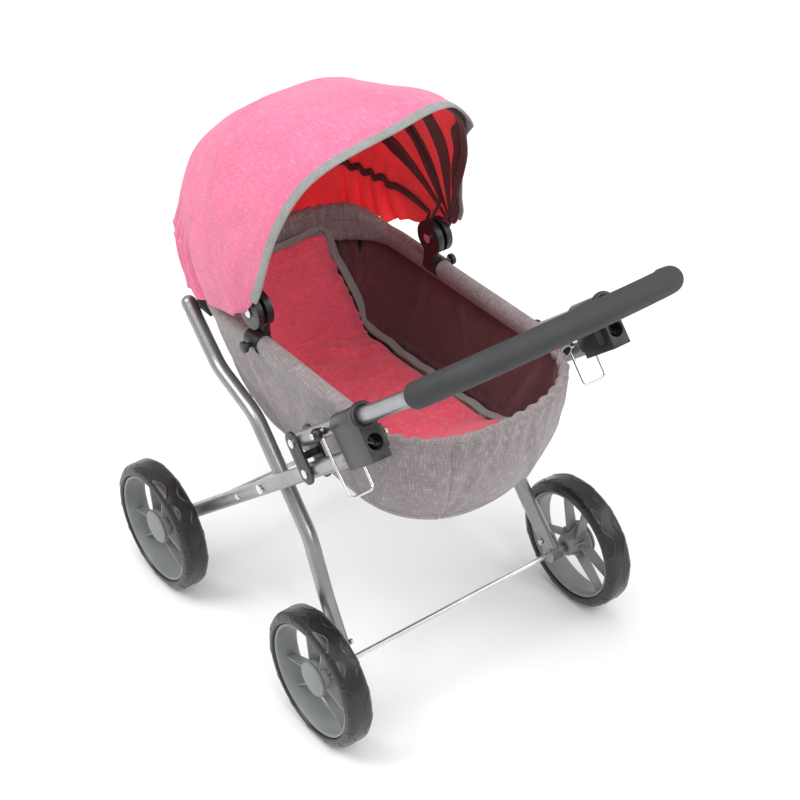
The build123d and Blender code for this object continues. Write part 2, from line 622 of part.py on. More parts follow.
def save_hood():
    rivet_hole = hub_disc(BRACKET_X[0] - BOW_INSET, DISC_X[1] + BOW_INSET, HUB_PIN_R + RUN_CLEAR)
    fixed_x = sum(BRACKET_X) / 2
    bow_rear = hood_bow(REAR_BOW_DEG, fixed_x)
    bow_mid = hood_bow(MID_BOW_DEG, sum(MID_RING_X) / 2)
    bow_front = hood_bow(FRONT_BOW_DEG, sum(DISC_X) / 2)
    save("hood_bow_rear", bow_rear)
    save("hood_bow_front", bow_front)
    ring = hub_disc(*MID_RING_X) - rivet_hole
    save("hood_bow_middle", bow_mid + ring + mirror(ring, about=Plane.YZ))
    clamp_w = 16.0
    clamp = Box(BRACKET_X[1] - BRACKET_X[0], clamp_w, HOOD_Z - RIM_Z)
    on_rim = Pos(RIM_X, HOOD_Y, RIM_Z) * Rot(90, 0, 0)
    bracket = hub_disc(*BRACKET_X) + Pos(fixed_x, HOOD_Y, (HOOD_Z + RIM_Z) / 2) * clamp
    bracket += on_rim * Cylinder(COLLAR_R, COLLAR_LENGTH)
    bracket -= on_rim * Cylinder(RIM_TUBE_R, 2 * COLLAR_LENGTH)
    bracket -= hub_disc(BRACKET_X[0] - BOW_INSET, DISC_X[1] + BOW_INSET, HUB_PIN_R)
    bracket -= bow_rear
    disc = hub_disc(*DISC_X) - rivet_hole - bow_front
    for side_name, side in SIDES:
        save(f"hood_bracket_{side_name}", for_side(bracket, side))
        save(f"hood_disc_{side_name}", for_side(disc, side))
    rivet = hub_disc(*HUB_RIVET_X, HUB_PIN_R)
    rivet += hub_disc(HUB_RIVET_X[0] - HUB_HEAD_T, HUB_RIVET_X[0], RIVET_HEAD_R)
    rivet += hub_disc(HUB_RIVET_X[1], HUB_RIVET_X[1] + HUB_HEAD_T, RIVET_HEAD_R)
    save("hood_rivets", both_sides(rivet))
    stem_r, stem_length = 3.0, 4.5
    head_length = 5.0
    knob_y = HOOD_Y + 2.0
    stem_x = RIM_X + COLLAR_R
    head_x = stem_x + stem_length
    knob = x_rod(stem_r, stem_x, head_x, knob_y, RIM_Z)
    knob += x_rod(KNOB_R, head_x, head_x + head_length, knob_y, RIM_Z)
    save("hood_stop_knobs", both_sides(knob))
    for layer, name in enumerate(("rear", "middle", "front")):
        save(f"hood_panel_{name}", hood_panel(layer, *PANEL_DEG[layer]))


os.makedirs("parts", exist_ok=True)
save_wheels()
save_rear_frame()
save_front_frame()
save_links()
save_handle()
save_bails()
save_rim()
save_bassinet()
save_head_brackets()
save_hood()
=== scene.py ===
import math

import bmesh
import bpy
import numpy as np
from mathutils import Matrix, Vector


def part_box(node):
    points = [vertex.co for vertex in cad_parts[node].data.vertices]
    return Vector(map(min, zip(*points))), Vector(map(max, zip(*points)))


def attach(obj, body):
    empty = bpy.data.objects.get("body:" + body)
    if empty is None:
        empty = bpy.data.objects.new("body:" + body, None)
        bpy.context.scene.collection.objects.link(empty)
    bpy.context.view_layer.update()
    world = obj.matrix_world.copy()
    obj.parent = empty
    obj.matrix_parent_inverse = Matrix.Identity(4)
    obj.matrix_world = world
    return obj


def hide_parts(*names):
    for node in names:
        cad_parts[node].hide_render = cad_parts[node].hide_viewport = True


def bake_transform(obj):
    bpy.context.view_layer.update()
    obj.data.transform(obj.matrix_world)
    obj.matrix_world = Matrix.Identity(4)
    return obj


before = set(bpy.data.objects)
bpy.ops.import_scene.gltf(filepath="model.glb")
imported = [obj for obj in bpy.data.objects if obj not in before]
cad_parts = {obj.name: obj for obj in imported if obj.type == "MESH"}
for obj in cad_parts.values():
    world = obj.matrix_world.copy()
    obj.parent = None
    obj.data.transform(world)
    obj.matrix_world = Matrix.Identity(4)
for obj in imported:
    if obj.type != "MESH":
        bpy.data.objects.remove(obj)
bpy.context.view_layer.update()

bl_info = {
    "name": "Doll Stroller Builder",
    "version": (1, 0, 0),
    "blender": (4, 5, 0),
    "location": "3D View > Sidebar > Doll Stroller",
    "description": "Builds the stroller's cloth, padding, wheels and fittings round its frame",
    "category": "Add Mesh",
}

MM = 0.001
SIDES = (("left", 1), ("right", -1))
AXLES = ("front", "rear")

# The frame's own lines, in millimetres: the push bar lies in a plane tilted by TUBE_TILT.
TUBE_TILT = math.radians(39.6)
TUBE_DIR = np.array([0.0, math.cos(TUBE_TILT), math.sin(TUBE_TILT)])
TUBE_UP = np.array([0.0, -math.sin(TUBE_TILT), math.cos(TUBE_TILT)])
BAR_ORIGIN = np.array([0.0, 6.39, 299.68])
BAR_X = 139.3
BAR_LEG_END = 272.8
BAR_CORNER_R = 68.0
BAR_CORNER_TURN = math.radians(67)
HUB_Y = -73.4
HUB_Z = 403.0
RIM_Z = 368.0


# ---- surfaces -----------------------------------------------------------------------------
def grid_faces(rows, cols):
    """Quads of a grid of rows by cols points, each joining a point to its next row and column."""
    r = np.arange(rows - 1)[:, None]
    c = np.arange(cols - 1)[None, :]
    first = r * cols + c
    return np.stack([first, first + 1, first + cols + 1, first + cols], axis=-1).reshape(-1, 4)


def unit(vectors):
    return vectors / np.maximum(np.linalg.norm(vectors, axis=-1, keepdims=True), 1e-12)


def lengths_along(points, axis):
    """Running length of a grid's lines along one axis."""
    steps = np.linalg.norm(np.diff(points, axis=axis), axis=-1)
    pad = [(0, 0)] * steps.ndim
    pad[axis] = (1, 0)
    return np.pad(np.cumsum(steps, axis=axis), pad)


def corner_cut(outline, rounds=2, closed=True):
    """Each run keeps its points at a quarter and three quarters, so corners turn into curves."""
    points = np.asarray(outline, float)
    for _ in range(rounds):
        ahead = np.roll(points, -1, axis=0)
        if not closed:
            points_in, ahead_in = points[:-1], ahead[:-1]
        else:
            points_in, ahead_in = points, ahead
        pairs = np.stack([0.75 * points_in + 0.25 * ahead_in, 0.25 * points_in + 0.75 * ahead_in], 1)
        cut = pairs.reshape(-1, points.shape[1])
        points = cut if closed else np.concatenate([points[:1], cut, points[-1:]])
    return np.concatenate([points, points[:1]]) if closed else points


def turned(profile, centre, axis, segments=96):
    """A profile of (distance along the axis, radius) turned full circle about the axis."""
    profile = np.asarray(profile, float)
    axis = unit(np.asarray(axis, float))
    other = np.array([0.0, 0.0, 1.0]) if abs(axis[2]) < 0.9 else np.array([1.0, 0.0, 0.0])
    e1 = unit(np.cross(axis, other))
    e2 = np.cross(axis, e1)
    angle = np.linspace(0, 2 * math.pi, segments + 1)[:, None, None]
    ring = np.cos(angle) * e1 + np.sin(angle) * e2
    return np.asarray(centre) + profile[None, :, :1] * axis + profile[None, :, 1:] * ring


def carried(path, side, outline):
    """An outline carried along a path: point = path + a * side + b * (tangent x side)."""
    tangent = unit(np.gradient(path, axis=0))
    side = np.broadcast_to(np.asarray(side, float), path.shape)
    side = unit(side - np.sum(side * tangent, axis=1, keepdims=True) * tangent)
    up = np.cross(tangent, side)
    outline = np.broadcast_to(outline, (len(path),) + np.shape(outline)[-2:])
    return path[:, None] + outline[..., :1] * side[:, None] + outline[..., 1:] * up[:, None]


def closed_ends(grid, height, steps=5):
    """Domed ends: the end ring shrinks by a cosine while it moves outwards by a sine."""
    angles = np.linspace(0, math.pi / 2, steps + 1)[1:, None, None]
    ends = []
    for ring, inner in ((grid[0], grid[1]), (grid[-1], grid[-2])):
        centre = ring[:-1].mean(axis=0)
        out = unit(centre - inner[:-1].mean(axis=0))
        ends.append(centre + (ring - centre) * np.cos(angles) + out * height * np.sin(angles))
    return np.concatenate([ends[0][::-1], grid, ends[1]])


def ring_outline(radius, points=32):
    angle = np.linspace(0, 2 * math.pi, points + 1)
    return np.stack([radius * np.cos(angle), radius * np.sin(angle)], axis=1)


def oval_outline(half_a, half_b, power=2.0, points=32):
    """|a/half_a|^power + |b/half_b|^power = 1, walked round by angle."""
    angle = np.linspace(0, 2 * math.pi, points + 1)
    c, s = np.cos(angle), np.sin(angle)
    return np.stack([half_a * np.sign(c) * np.abs(c) ** (2 / power),
                     half_b * np.sign(s) * np.abs(s) ** (2 / power)], axis=1)


def soft_noise(a, b, seed, octaves=3):
    """Smooth noise from -1 to 1: sums of sines of a and b with fixed random directions."""
    rng = np.random.default_rng(seed)
    total = np.zeros(np.broadcast(a, b).shape)
    weight = 0.0
    for octave in range(octaves):
        scale = 2.0 ** octave
        for _ in range(4):
            turn, phase = rng.uniform(0, 2 * math.pi, 2)
            total += np.sin(scale * (a * math.cos(turn) + b * math.sin(turn)) + phase) / scale
            weight += 0.6 / scale
    return total / weight


def smooth_step(x):
    x = np.clip(x, 0, 1)
    return x * x * (3 - 2 * x)


def hump(x, width):
    """1 at x = 0, falling to nothing at about two widths on either side."""
    return np.exp(-(x / width) ** 2)


def normals_of(grid):
    """Unit normals of a grid, from the cross product of its two directions."""
    return unit(np.cross(np.gradient(grid, axis=1), np.gradient(grid, axis=0)))


def build_mesh(name, grids, uvs=None, marks=None):
    """One object in metres from grids in millimetres; doubled points at seams and poles merge.

    uvs holds one (rows, cols, 2) array per grid, in metres; marks maps an attribute's name to
    one (rows, cols) array per grid.
    """
    points, faces, start = [], [], 0
    for grid in grids:
        points.append(grid.reshape(-1, 3))
        faces.append(grid_faces(*grid.shape[:2]) + start)
        start += grid.shape[0] * grid.shape[1]
    points = np.concatenate(points) * MM
    faces = np.concatenate(faces)
    mesh = bpy.data.meshes.new(name)
    mesh.from_pydata(points.tolist(), [], faces.tolist())
    if uvs is not None:
        flat = np.concatenate([uv.reshape(-1, 2) for uv in uvs])
        layer = mesh.uv_layers.new(name="weave")
        layer.data.foreach_set("uv", flat[faces.ravel()].ravel())
    for mark, arrays in (marks or {}).items():
        layer = mesh.attributes.new(mark, "FLOAT", "POINT")
        layer.data.foreach_set("value", np.concatenate([a.ravel() for a in arrays]))
    bm = bmesh.new()
    bm.from_mesh(mesh)
    bmesh.ops.remove_doubles(bm, verts=bm.verts, dist=2e-6)
    bmesh.ops.dissolve_degenerate(bm, edges=bm.edges, dist=1e-7)
    bmesh.ops.recalc_face_normals(bm, faces=bm.faces)
    bm.to_mesh(mesh)
    bm.free()
    obj = bpy.data.objects.new(name, mesh)
    bpy.context.scene.collection.objects.link(obj)
    return obj


def shade(obj, angle=None):
    """Smooth shading, with edges kept sharp above the angle in degrees."""
    obj.data.polygons.foreach_set("use_smooth", [True] * len(obj.data.polygons))
    if angle is not None:
        obj.data.set_sharp_from_angle(angle=math.radians(angle))
    obj.data.update()


def fit_out(obj, body, material, stands_for=(), angle=None):
    """Shade a piece, give it its material, and let it ride on its body."""
    shade(obj, angle)
    obj.data.materials.clear()
    obj.data.materials.append(material)
    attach(obj, body)
    if stands_for:
        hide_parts(*stands_for)
    return obj


def apply_modifiers(obj):
    """Replace the mesh by its evaluated one, and drop the modifiers."""
    graph = bpy.context.evaluated_depsgraph_get()
    graph.update()
    made = bpy.data.meshes.new_from_object(obj.evaluated_get(graph), depsgraph=graph)
    obj.modifiers.clear()
    obj.data = made


def softened_copy(name, nodes, width, segments=3, angle=32):
    """A merged copy of CAD nodes with its edges rounded by a bevel."""
    bm = bmesh.new()
    for node in nodes:
        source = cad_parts[node]
        part = source.data.copy()
        part.transform(source.matrix_world)
        bm.from_mesh(part)
        bpy.data.meshes.remove(part)
    bmesh.ops.remove_doubles(bm, verts=bm.verts, dist=1e-6)
    bmesh.ops.dissolve_limit(bm, angle_limit=math.radians(1.0), verts=bm.verts, edges=bm.edges)
    mesh = bpy.data.meshes.new(name)
    bm.to_mesh(mesh)
    bm.free()
    obj = bpy.data.objects.new(name, mesh)
    bpy.context.scene.collection.objects.link(obj)
    bevel = obj.modifiers.new("round", "BEVEL")
    bevel.width = width * MM
    bevel.segments = segments
    bevel.limit_method = "ANGLE"
    bevel.angle_limit = math.radians(angle)
    bevel.use_clamp_overlap = True
    apply_modifiers(obj)
    return obj


# ---- shader tools -------------------------------------------------------------------------
def node(tree, kind, inputs=None, **settings):
    """Add a shader node; inputs maps a socket's name or number to a value or a socket."""
    made = tree.nodes.new(kind)
    for key, value in settings.items():
        setattr(made, key, value)
    for key, value in (inputs or {}).items():
        if isinstance(value, bpy.types.NodeSocket):
            tree.links.new(value, made.inputs[key])
        else:
            made.inputs[key].default_value = value
    return made


def maths(tree, operation, a, b=0.0, c=0.0):
    return node(tree, "ShaderNodeMath", {0: a, 1: b, 2: c}, operation=operation).outputs[0]


def blend_colour(tree, amount, a, b, mode="MIX"):
    made = node(tree, "ShaderNodeMix", {"Factor": amount}, data_type="RGBA", blend_type=mode)
    for socket, value in ((made.inputs[6], a), (made.inputs[7], b)):
        if isinstance(value, bpy.types.NodeSocket):
            tree.links.new(value, socket)
        else:
            socket.default_value = value
    return made.outputs[2]


def noise(tree, vector, scale, detail=3.0, roughness=0.55):
    made = node(tree, "ShaderNodeTexNoise", {"Vector": vector, "Scale": scale, "Detail": detail,
                                             "Roughness": roughness})
    return made.outputs["Fac"]


def spread(tree, value, low, high, to_low=0.0, to_high=1.0):
    made = node(tree, "ShaderNodeMapRange", {"Value": value, "From Min": low, "From Max": high,
                                             "To Min": to_low, "To Max": to_high})
    made.clamp = True
    return made.outputs[0]


def new_group(name, ins, outs):
    """A shader node group with named sockets; returns the tree and its two end nodes."""
    tree = bpy.data.node_groups.new(name, "ShaderNodeTree")
    kinds = {"f": "NodeSocketFloat", "c": "NodeSocketColor", "v": "NodeSocketVector"}
    for label, kind, value in ins:
        socket = tree.interface.new_socket(name=label, in_out="INPUT", socket_type=kinds[kind])
        if value is not None:
            socket.default_value = value
    for label, kind in outs:
        tree.interface.new_socket(name=label, in_out="OUTPUT", socket_type=kinds[kind])
    return tree, tree.nodes.new("NodeGroupInput"), tree.nodes.new("NodeGroupOutput")


def melange_group():
    """Two-tone yarn cloth: long thin flecks along warp and weft, and the height of a weave."""
    tree, a, z = new_group("Melange Weave", [
        ("Vector", "v", None), ("Base", "c", (0.5, 0.5, 0.5, 1)), ("Light", "c", (0.8, 0.8, 0.8, 1)),
        ("Dark", "c", (0.2, 0.2, 0.2, 1)), ("Fleck", "f", 0.6), ("Yarns Per Metre", "f", 900.0)],
        [("Colour", "c"), ("Height", "f"), ("Roughness", "f")])
    x = node(tree, "ShaderNodeSeparateXYZ", {0: a.outputs["Vector"]})
    streaks = []
    for across, along, third in ((0.62, 0.085, 0.62), (0.085, 0.62, 0.62)):
        yarns = a.outputs["Yarns Per Metre"]
        scaled = node(tree, "ShaderNodeCombineXYZ", {
            0: maths(tree, "MULTIPLY", x.outputs[0], maths(tree, "MULTIPLY", yarns, across)),
            1: maths(tree, "MULTIPLY", x.outputs[1], maths(tree, "MULTIPLY", yarns, along)),
            2: maths(tree, "MULTIPLY", x.outputs[2], maths(tree, "MULTIPLY", yarns, third))})
        streaks.append(noise(tree, scaled.outputs[0], 1.0, 2.0, 0.6))
    cloud = noise(tree, a.outputs["Vector"], 26.0, 3.0)
    light = spread(tree, streaks[0], 0.50, 0.66)
    dark = spread(tree, streaks[1], 0.52, 0.68)
    colour = blend_colour(tree, maths(tree, "MULTIPLY", light, a.outputs["Fleck"]),
                          a.outputs["Base"], a.outputs["Light"])
    colour = blend_colour(tree, maths(tree, "MULTIPLY", dark, a.outputs["Fleck"]),
                          colour, a.outputs["Dark"])
    tone = spread(tree, cloud, 0.3, 0.7, 0.90, 1.08)
    colour = blend_colour(tree, 1.0, colour,
                          node(tree, "ShaderNodeCombineColor", {0: tone, 1: tone, 2: tone}).outputs[0],
                          "MULTIPLY")
    turn = maths(tree, "MULTIPLY", a.outputs["Yarns Per Metre"], 2 * math.pi)
    warp = maths(tree, "SINE", maths(tree, "MULTIPLY", x.outputs[0], turn))
    weft = maths(tree, "SINE", maths(tree, "MULTIPLY", x.outputs[1], turn))
    weave = maths(tree, "MULTIPLY", warp, weft)
    height = maths(tree, "ADD", maths(tree, "MULTIPLY", weave, 0.5),
                   maths(tree, "ADD", streaks[0], maths(tree, "MULTIPLY", streaks[1], 0.8)))
    tree.links.new(colour, z.inputs["Colour"])
    tree.links.new(height, z.inputs["Height"])
    tree.links.new(spread(tree, streaks[1], 0.3, 0.7, 0.82, 0.95), z.inputs["Roughness"])
    return tree


def wear_group():
    """Rubbed edges and handling marks: a mask from the surface's curvature and coarse noise."""
    tree, a, z = new_group("Rubbed Edges", [
        ("Vector", "v", None), ("Amount", "f", 0.5), ("Mark Size", "f", 60.0)],
        [("Mask", "f"), ("Smudge", "f")])
    shape = node(tree, "ShaderNodeNewGeometry")
    edge = spread(tree, shape.outputs["Pointiness"], 0.52, 0.60)
    patch = spread(tree, noise(tree, a.outputs["Vector"], a.outputs["Mark Size"], 5.0), 0.42, 0.62)
    worn = maths(tree, "MULTIPLY", maths(tree, "MULTIPLY", edge, patch), a.outputs["Amount"])
    tree.links.new(worn, z.inputs["Mask"])
    tree.links.new(spread(tree, noise(tree, a.outputs["Vector"], 18.0, 4.0), 0.3, 0.7),
                   z.inputs["Smudge"])
    return tree


def grain_group():
    """Moulded grain: fine noise for height, and a slow drift for the colour."""
    tree, a, z = new_group("Moulded Grain", [
        ("Vector", "v", None), ("Grain Size", "f", 900.0)], [("Height", "f"), ("Tone", "f")])
    tree.links.new(noise(tree, a.outputs["Vector"], a.outputs["Grain Size"], 3.0), z.inputs["Height"])
    tree.links.new(spread(tree, noise(tree, a.outputs["Vector"], 35.0, 3.0), 0.3, 0.7, 0.88, 1.1),
                   z.inputs["Tone"])
    return tree


GROUPS = {}


def group_node(tree, name, inputs):
    if name not in GROUPS:
        GROUPS[name] = {"weave": melange_group, "wear": wear_group, "grain": grain_group}[name]()
    made = tree.nodes.new("ShaderNodeGroup")
    made.node_tree = GROUPS[name]
    for key, value in inputs.items():
        if isinstance(value, bpy.types.NodeSocket):
            tree.links.new(value, made.inputs[key])
        else:
            made.inputs[key].default_value = value
    return made


def new_material(name, **constants):
    """A material with one Principled shader; constants go straight onto its own sockets."""
    made = bpy.data.materials.new(name)
    made.use_nodes = True
    tree = made.node_tree
    shader = tree.nodes["Principled BSDF"]
    for key, value in constants.items():
        shader.inputs[key.replace("_", " ")].default_value = value
    return made, tree, shader


def bump(tree, shader, height, strength, distance):
    made = node(tree, "ShaderNodeBump", {"Height": height, "Strength": strength,
                                         "Distance": distance * MM})
    tree.links.new(made.outputs[0], shader.inputs["Normal"])


def toned(tree, colour, tone):
    grey = node(tree, "ShaderNodeCombineColor", {0: tone, 1: tone, 2: tone})
    return blend_colour(tree, 1.0, colour, grey.outputs[0], "MULTIPLY")


def moulded(name, colour, worn, roughness, grain=900.0, wear=0.4, depth=0.05, **constants):
    """Moulded plastic or rubber: grain bump, tone drift, and rubbed lighter edges."""
    made, tree, shader = new_material(name, **constants)
    place = node(tree, "ShaderNodeTexCoord").outputs["Object"]
    grains = group_node(tree, "grain", {"Vector": place, "Grain Size": grain})
    rubbed = group_node(tree, "wear", {"Vector": place, "Amount": wear})
    body = toned(tree, colour, grains.outputs["Tone"])
    tree.links.new(blend_colour(tree, rubbed.outputs["Mask"], body, worn), shader.inputs["Base Color"])
    tree.links.new(spread(tree, rubbed.outputs["Smudge"], 0.0, 1.0, roughness - 0.06, roughness + 0.08),
                   shader.inputs["Roughness"])
    bump(tree, shader, grains.outputs["Height"], 0.35, depth)
    return made


def metal(name, colour, worn, roughness, metallic, streak=(1.0, 1.0, 1.0), **constants):
    """Coated or plated steel: faint streaks in the roughness and a little orange peel."""
    made, tree, shader = new_material(name, **constants)
    place = node(tree, "ShaderNodeTexCoord").outputs["Object"]
    stretched = node(tree, "ShaderNodeMapping", {"Vector": place, "Scale": streak}).outputs[0]
    lines = noise(tree, stretched, 160.0, 2.0)
    rubbed = group_node(tree, "wear", {"Vector": place, "Amount": 0.10, "Mark Size": 90.0})
    grains = group_node(tree, "grain", {"Vector": place, "Grain Size": 520.0})
    body = toned(tree, colour, grains.outputs["Tone"])
    tree.links.new(blend_colour(tree, rubbed.outputs["Mask"], body, worn), shader.inputs["Base Color"])
    tree.links.new(spread(tree, rubbed.outputs["Mask"], 0.0, 1.0, metallic, 1.0),
                   shader.inputs["Metallic"])
    tree.links.new(spread(tree, lines, 0.3, 0.7, roughness - 0.02, roughness + 0.03),
                   shader.inputs["Roughness"])
    bump(tree, shader, grains.outputs["Height"], 0.05, 0.02)
    return made


def cloth(name, base, light, dark, fleck=0.6, yarns=900.0, lined=None, cased=None, glow=0.0,
          **constants):
    """Melange cloth on the piece's own weave map, with colours for the inside face and casings where it
    has them.

    glow is the strength of a painted glow: the inside face's colours are emitted as painted light,
    standing for light that comes through the thin cloth.
    """
    made, tree, shader = new_material(name, **constants)
    place = node(tree, "ShaderNodeUVMap", uv_map="weave").outputs[0]
    woven = group_node(tree, "weave", {"Vector": place, "Base": base, "Light": light, "Dark": dark,
                                       "Fleck": fleck, "Yarns Per Metre": yarns})
    colour = woven.outputs["Colour"]
    if lined is not None:
        inner = group_node(tree, "weave", {"Vector": place, "Base": lined[0], "Light": lined[1],
                                           "Dark": lined[2], "Fleck": 0.3,
                                           "Yarns Per Metre": yarns})
        inside = node(tree, "ShaderNodeAttribute", attribute_name="lining").outputs["Fac"]
        colour = blend_colour(tree, inside, colour, inner.outputs["Colour"])
        # painted light: the inside face's colours glow, standing in for light coming through the thin
        # cloth; the casings glow not at all
        through = blend_colour(tree, inside, (0, 0, 0, 1), inner.outputs["Colour"])
        if cased is not None:
            dark_band = node(tree, "ShaderNodeAttribute", attribute_name="casing").outputs["Fac"]
            through = blend_colour(tree, dark_band, through, (0, 0, 0, 1))
        tree.links.new(through, shader.inputs["Emission Color"])
        shader.inputs["Emission Strength"].default_value = glow
    if cased is not None:
        casing = node(tree, "ShaderNodeAttribute", attribute_name="casing").outputs["Fac"]
        colour = blend_colour(tree, spread(tree, casing, 0.45, 0.55), colour, cased)
    tree.links.new(colour, shader.inputs["Base Color"])
    tree.links.new(woven.outputs["Roughness"], shader.inputs["Roughness"])
    bump(tree, shader, woven.outputs["Height"], 0.55, 0.22)
    return made


def padded_cloth(name, base, light, dark, fleck=0.6, yarns=900.0, **constants):
    """Melange cloth for a filled pad, mapped by place because the pad has no flat map."""
    made, tree, shader = new_material(name, **constants)
    place = node(tree, "ShaderNodeTexCoord").outputs["Object"]
    woven = group_node(tree, "weave", {"Vector": place, "Base": base, "Light": light, "Dark": dark,
                                       "Fleck": fleck, "Yarns Per Metre": yarns})
    tree.links.new(woven.outputs["Colour"], shader.inputs["Base Color"])
    tree.links.new(woven.outputs["Roughness"], shader.inputs["Roughness"])
    bump(tree, shader, woven.outputs["Height"], 0.5, 0.2)
    return made


def colour_of(group, name):
    return tuple(getattr(group, name))


def paint_nodes(material, *names):
    """Give carried-over CAD nodes a finished material."""
    for name in names:
        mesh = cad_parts[name].data
        mesh.materials.clear()
        mesh.materials.append(material)


MATERIALS = {}


def make_materials():
    """Every finish of the stroller, by the maker's name for it."""
    tone = bpy.context.scene.stroller_colours
    sheen = {"Sheen_Weight": 0.25, "Sheen_Roughness": 0.5, "Specular_IOR_Level": 0.25}
    MATERIALS["rubber"] = moulded("Tyre rubber", (0.010, 0.010, 0.011, 1), (0.02, 0.02, 0.02, 1),
                                  0.27, 700.0, 0.15, 0.04)
    MATERIALS["rim"] = moulded("Rim plastic", colour_of(tone, "rim"), (0.36, 0.37, 0.37, 1),
                               0.42, 900.0, 0.3, 0.04)
    MATERIALS["black"] = moulded("Black moulding", (0.012, 0.012, 0.013, 1), (0.06, 0.06, 0.065, 1),
                                 0.33, 1100.0, 0.5, 0.05)
    MATERIALS["foam"] = moulded("Foam grip", colour_of(tone, "grip"), (0.06, 0.06, 0.06, 1),
                                0.62, 1300.0, 0.2, 0.12)
    MATERIALS["paint"] = metal("Silver coat", colour_of(tone, "tubes"), (0.72, 0.72, 0.72, 1),
                               0.30, 0.85)
    MATERIALS["steel"] = metal("Bright plate", (0.70, 0.70, 0.69, 1), (0.5, 0.5, 0.5, 1),
                               0.22, 1.0, (1.0, 6.0, 6.0))
    MATERIALS["basket_cloth"] = cloth("Lined grey melange", (0.235, 0.200, 0.205, 1),
                                      (0.45, 0.41, 0.415, 1), (0.10, 0.085, 0.09, 1), 0.5, 1100.0,
                                      # the inside face takes a darker, redder melange than the outside
                                      lined=((0.115, 0.038, 0.042, 1), (0.22, 0.09, 0.095, 1),
                                             (0.05, 0.018, 0.02, 1)), **sheen)
    MATERIALS["binding"] = cloth("Grey binding", (0.26, 0.26, 0.255, 1), (0.36, 0.36, 0.35, 1),
                                 (0.16, 0.16, 0.16, 1), 0.5, 1100.0, **sheen)
    MATERIALS["hood_cloth"] = cloth("Pink melange", colour_of(tone, "hood"), (0.88, 0.36, 0.50, 1),
                                    (0.66, 0.08, 0.21, 1), 0.38, 1300.0,
                                    # the hood's inside is the same pink cloth: its bright red is painted
                                    # light, coming through the cloth and reflected inside the hood, and
                                    # glow emits it as painted light
                                    lined=((0.85, 0.035, 0.045, 1), (0.92, 0.10, 0.10, 1),
                                           (0.60, 0.02, 0.03, 1)), glow=0.22,
                                    # cased is painted shade: the grey casing tape painted dark red, as it
                                    # looks in shadow under red light reflected in the hood
                                    cased=(0.085, 0.012, 0.017, 1), **sheen)
    MATERIALS["coral_cloth"] = padded_cloth("Coral melange", colour_of(tone, "pad"),
                                            (0.93, 0.28, 0.34, 1), (0.60, 0.03, 0.07, 1), 0.38,
                                            1200.0, **sheen)
    # the bow sleeves' dark red is painted shade: grey tape as it looks in shadow under red light
    # reflected in the hood
    MATERIALS["casing"] = cloth("Bow casing", (0.085, 0.012, 0.017, 1), (0.12, 0.02, 0.025, 1),
                                (0.05, 0.008, 0.01, 1), 0.5, 900.0, **sheen)
    MATERIALS["board"] = moulded("Fibre board", (0.35, 0.26, 0.17, 1), (0.5, 0.4, 0.3, 1), 0.8,
                                 400.0, 0.2, 0.2)


# ---- wheels -------------------------------------------------------------------------------
def wheel_hub(name, side):
    """Centre of a wheel, from the box of its tyre, and the outward direction of its axle."""
    low, high = (np.array(corner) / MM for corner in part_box(name))
    return (low + high) / 2, np.array([float(side), 0.0, 0.0])


def tyre_grid(centre, axis, radius, half_width, waves):
    """A tyre's outline turned about the axle, raised where the tread's waves and ovals run.

    Height = 1 inside a band round x = a + b sin(waves * angle), and 1 on the ring of an oval in
    each hollow of that wave; both fade over half a millimetre.
    """
    shoulder = [(half_width, 61.6), (half_width + 0.2, 66.0), (half_width - 0.7, radius - 4.6),
                (half_width - 3.8, radius - 1.6), (half_width - 8.0, radius - 0.7)]
    outline = corner_cut(shoulder + [(-x, r) for x, r in reversed(shoulder)], 3)
    dense = np.linspace(0, 1, 96)
    along = lengths_along(outline, 0)
    outline = np.stack([np.interp(dense * along[-1], along, outline[:, i]) for i in (0, 1)], 1)
    out = np.stack([np.gradient(outline[:, 1]), -np.gradient(outline[:, 0])], 1)
    out = unit(out) * np.sign(out[len(out) // 2, 1] + 1e-9)
    angle = np.linspace(0, 2 * math.pi, 481)[:, None]
    x, r = outline[None, :, 0], outline[None, :, 1]
    height = np.zeros((len(angle), len(outline)))
    for mirror_side, phase in ((1, 0.0), (-1, math.pi)):
        wave = mirror_side * (7.2 + 3.4 * np.sin(waves * angle + phase))
        height = np.maximum(height, smooth_step((1.15 - np.abs(x - wave)) / 0.5))
        turn = waves * angle + phase
        local = (np.mod(turn + math.pi / 2, 2 * math.pi) - math.pi) / waves * radius
        oval = np.hypot((x - mirror_side * 12.2) / 1.9, local / 3.6)
        height = np.maximum(height, smooth_step((0.42 - np.abs(oval - 1.0)) / 0.25))
        ridge = np.abs(r - (radius - 9.5)) + 50.0 * (np.abs(x) < half_width - 2.0)
        height = np.maximum(height, 0.7 * smooth_step((0.8 - ridge) / 0.5))
    height = height * (r > 63.5) * 0.45
    profile = np.stack([x + out[None, :, 0] * height, r + out[None, :, 1] * height], -1)
    seat = shoulder[0][1]
    profile[..., 1] = seat + (profile[..., 1] - seat) * (radius - seat) / (profile[..., 1].max() - seat)
    e1, e2 = np.array([0.0, 1.0, 0.0]), np.array([0.0, 0.0, 1.0])
    ring = np.cos(angle)[..., None] * e1 + np.sin(angle)[..., None] * e2
    return centre + profile[..., :1] * axis + profile[..., 1:] * ring


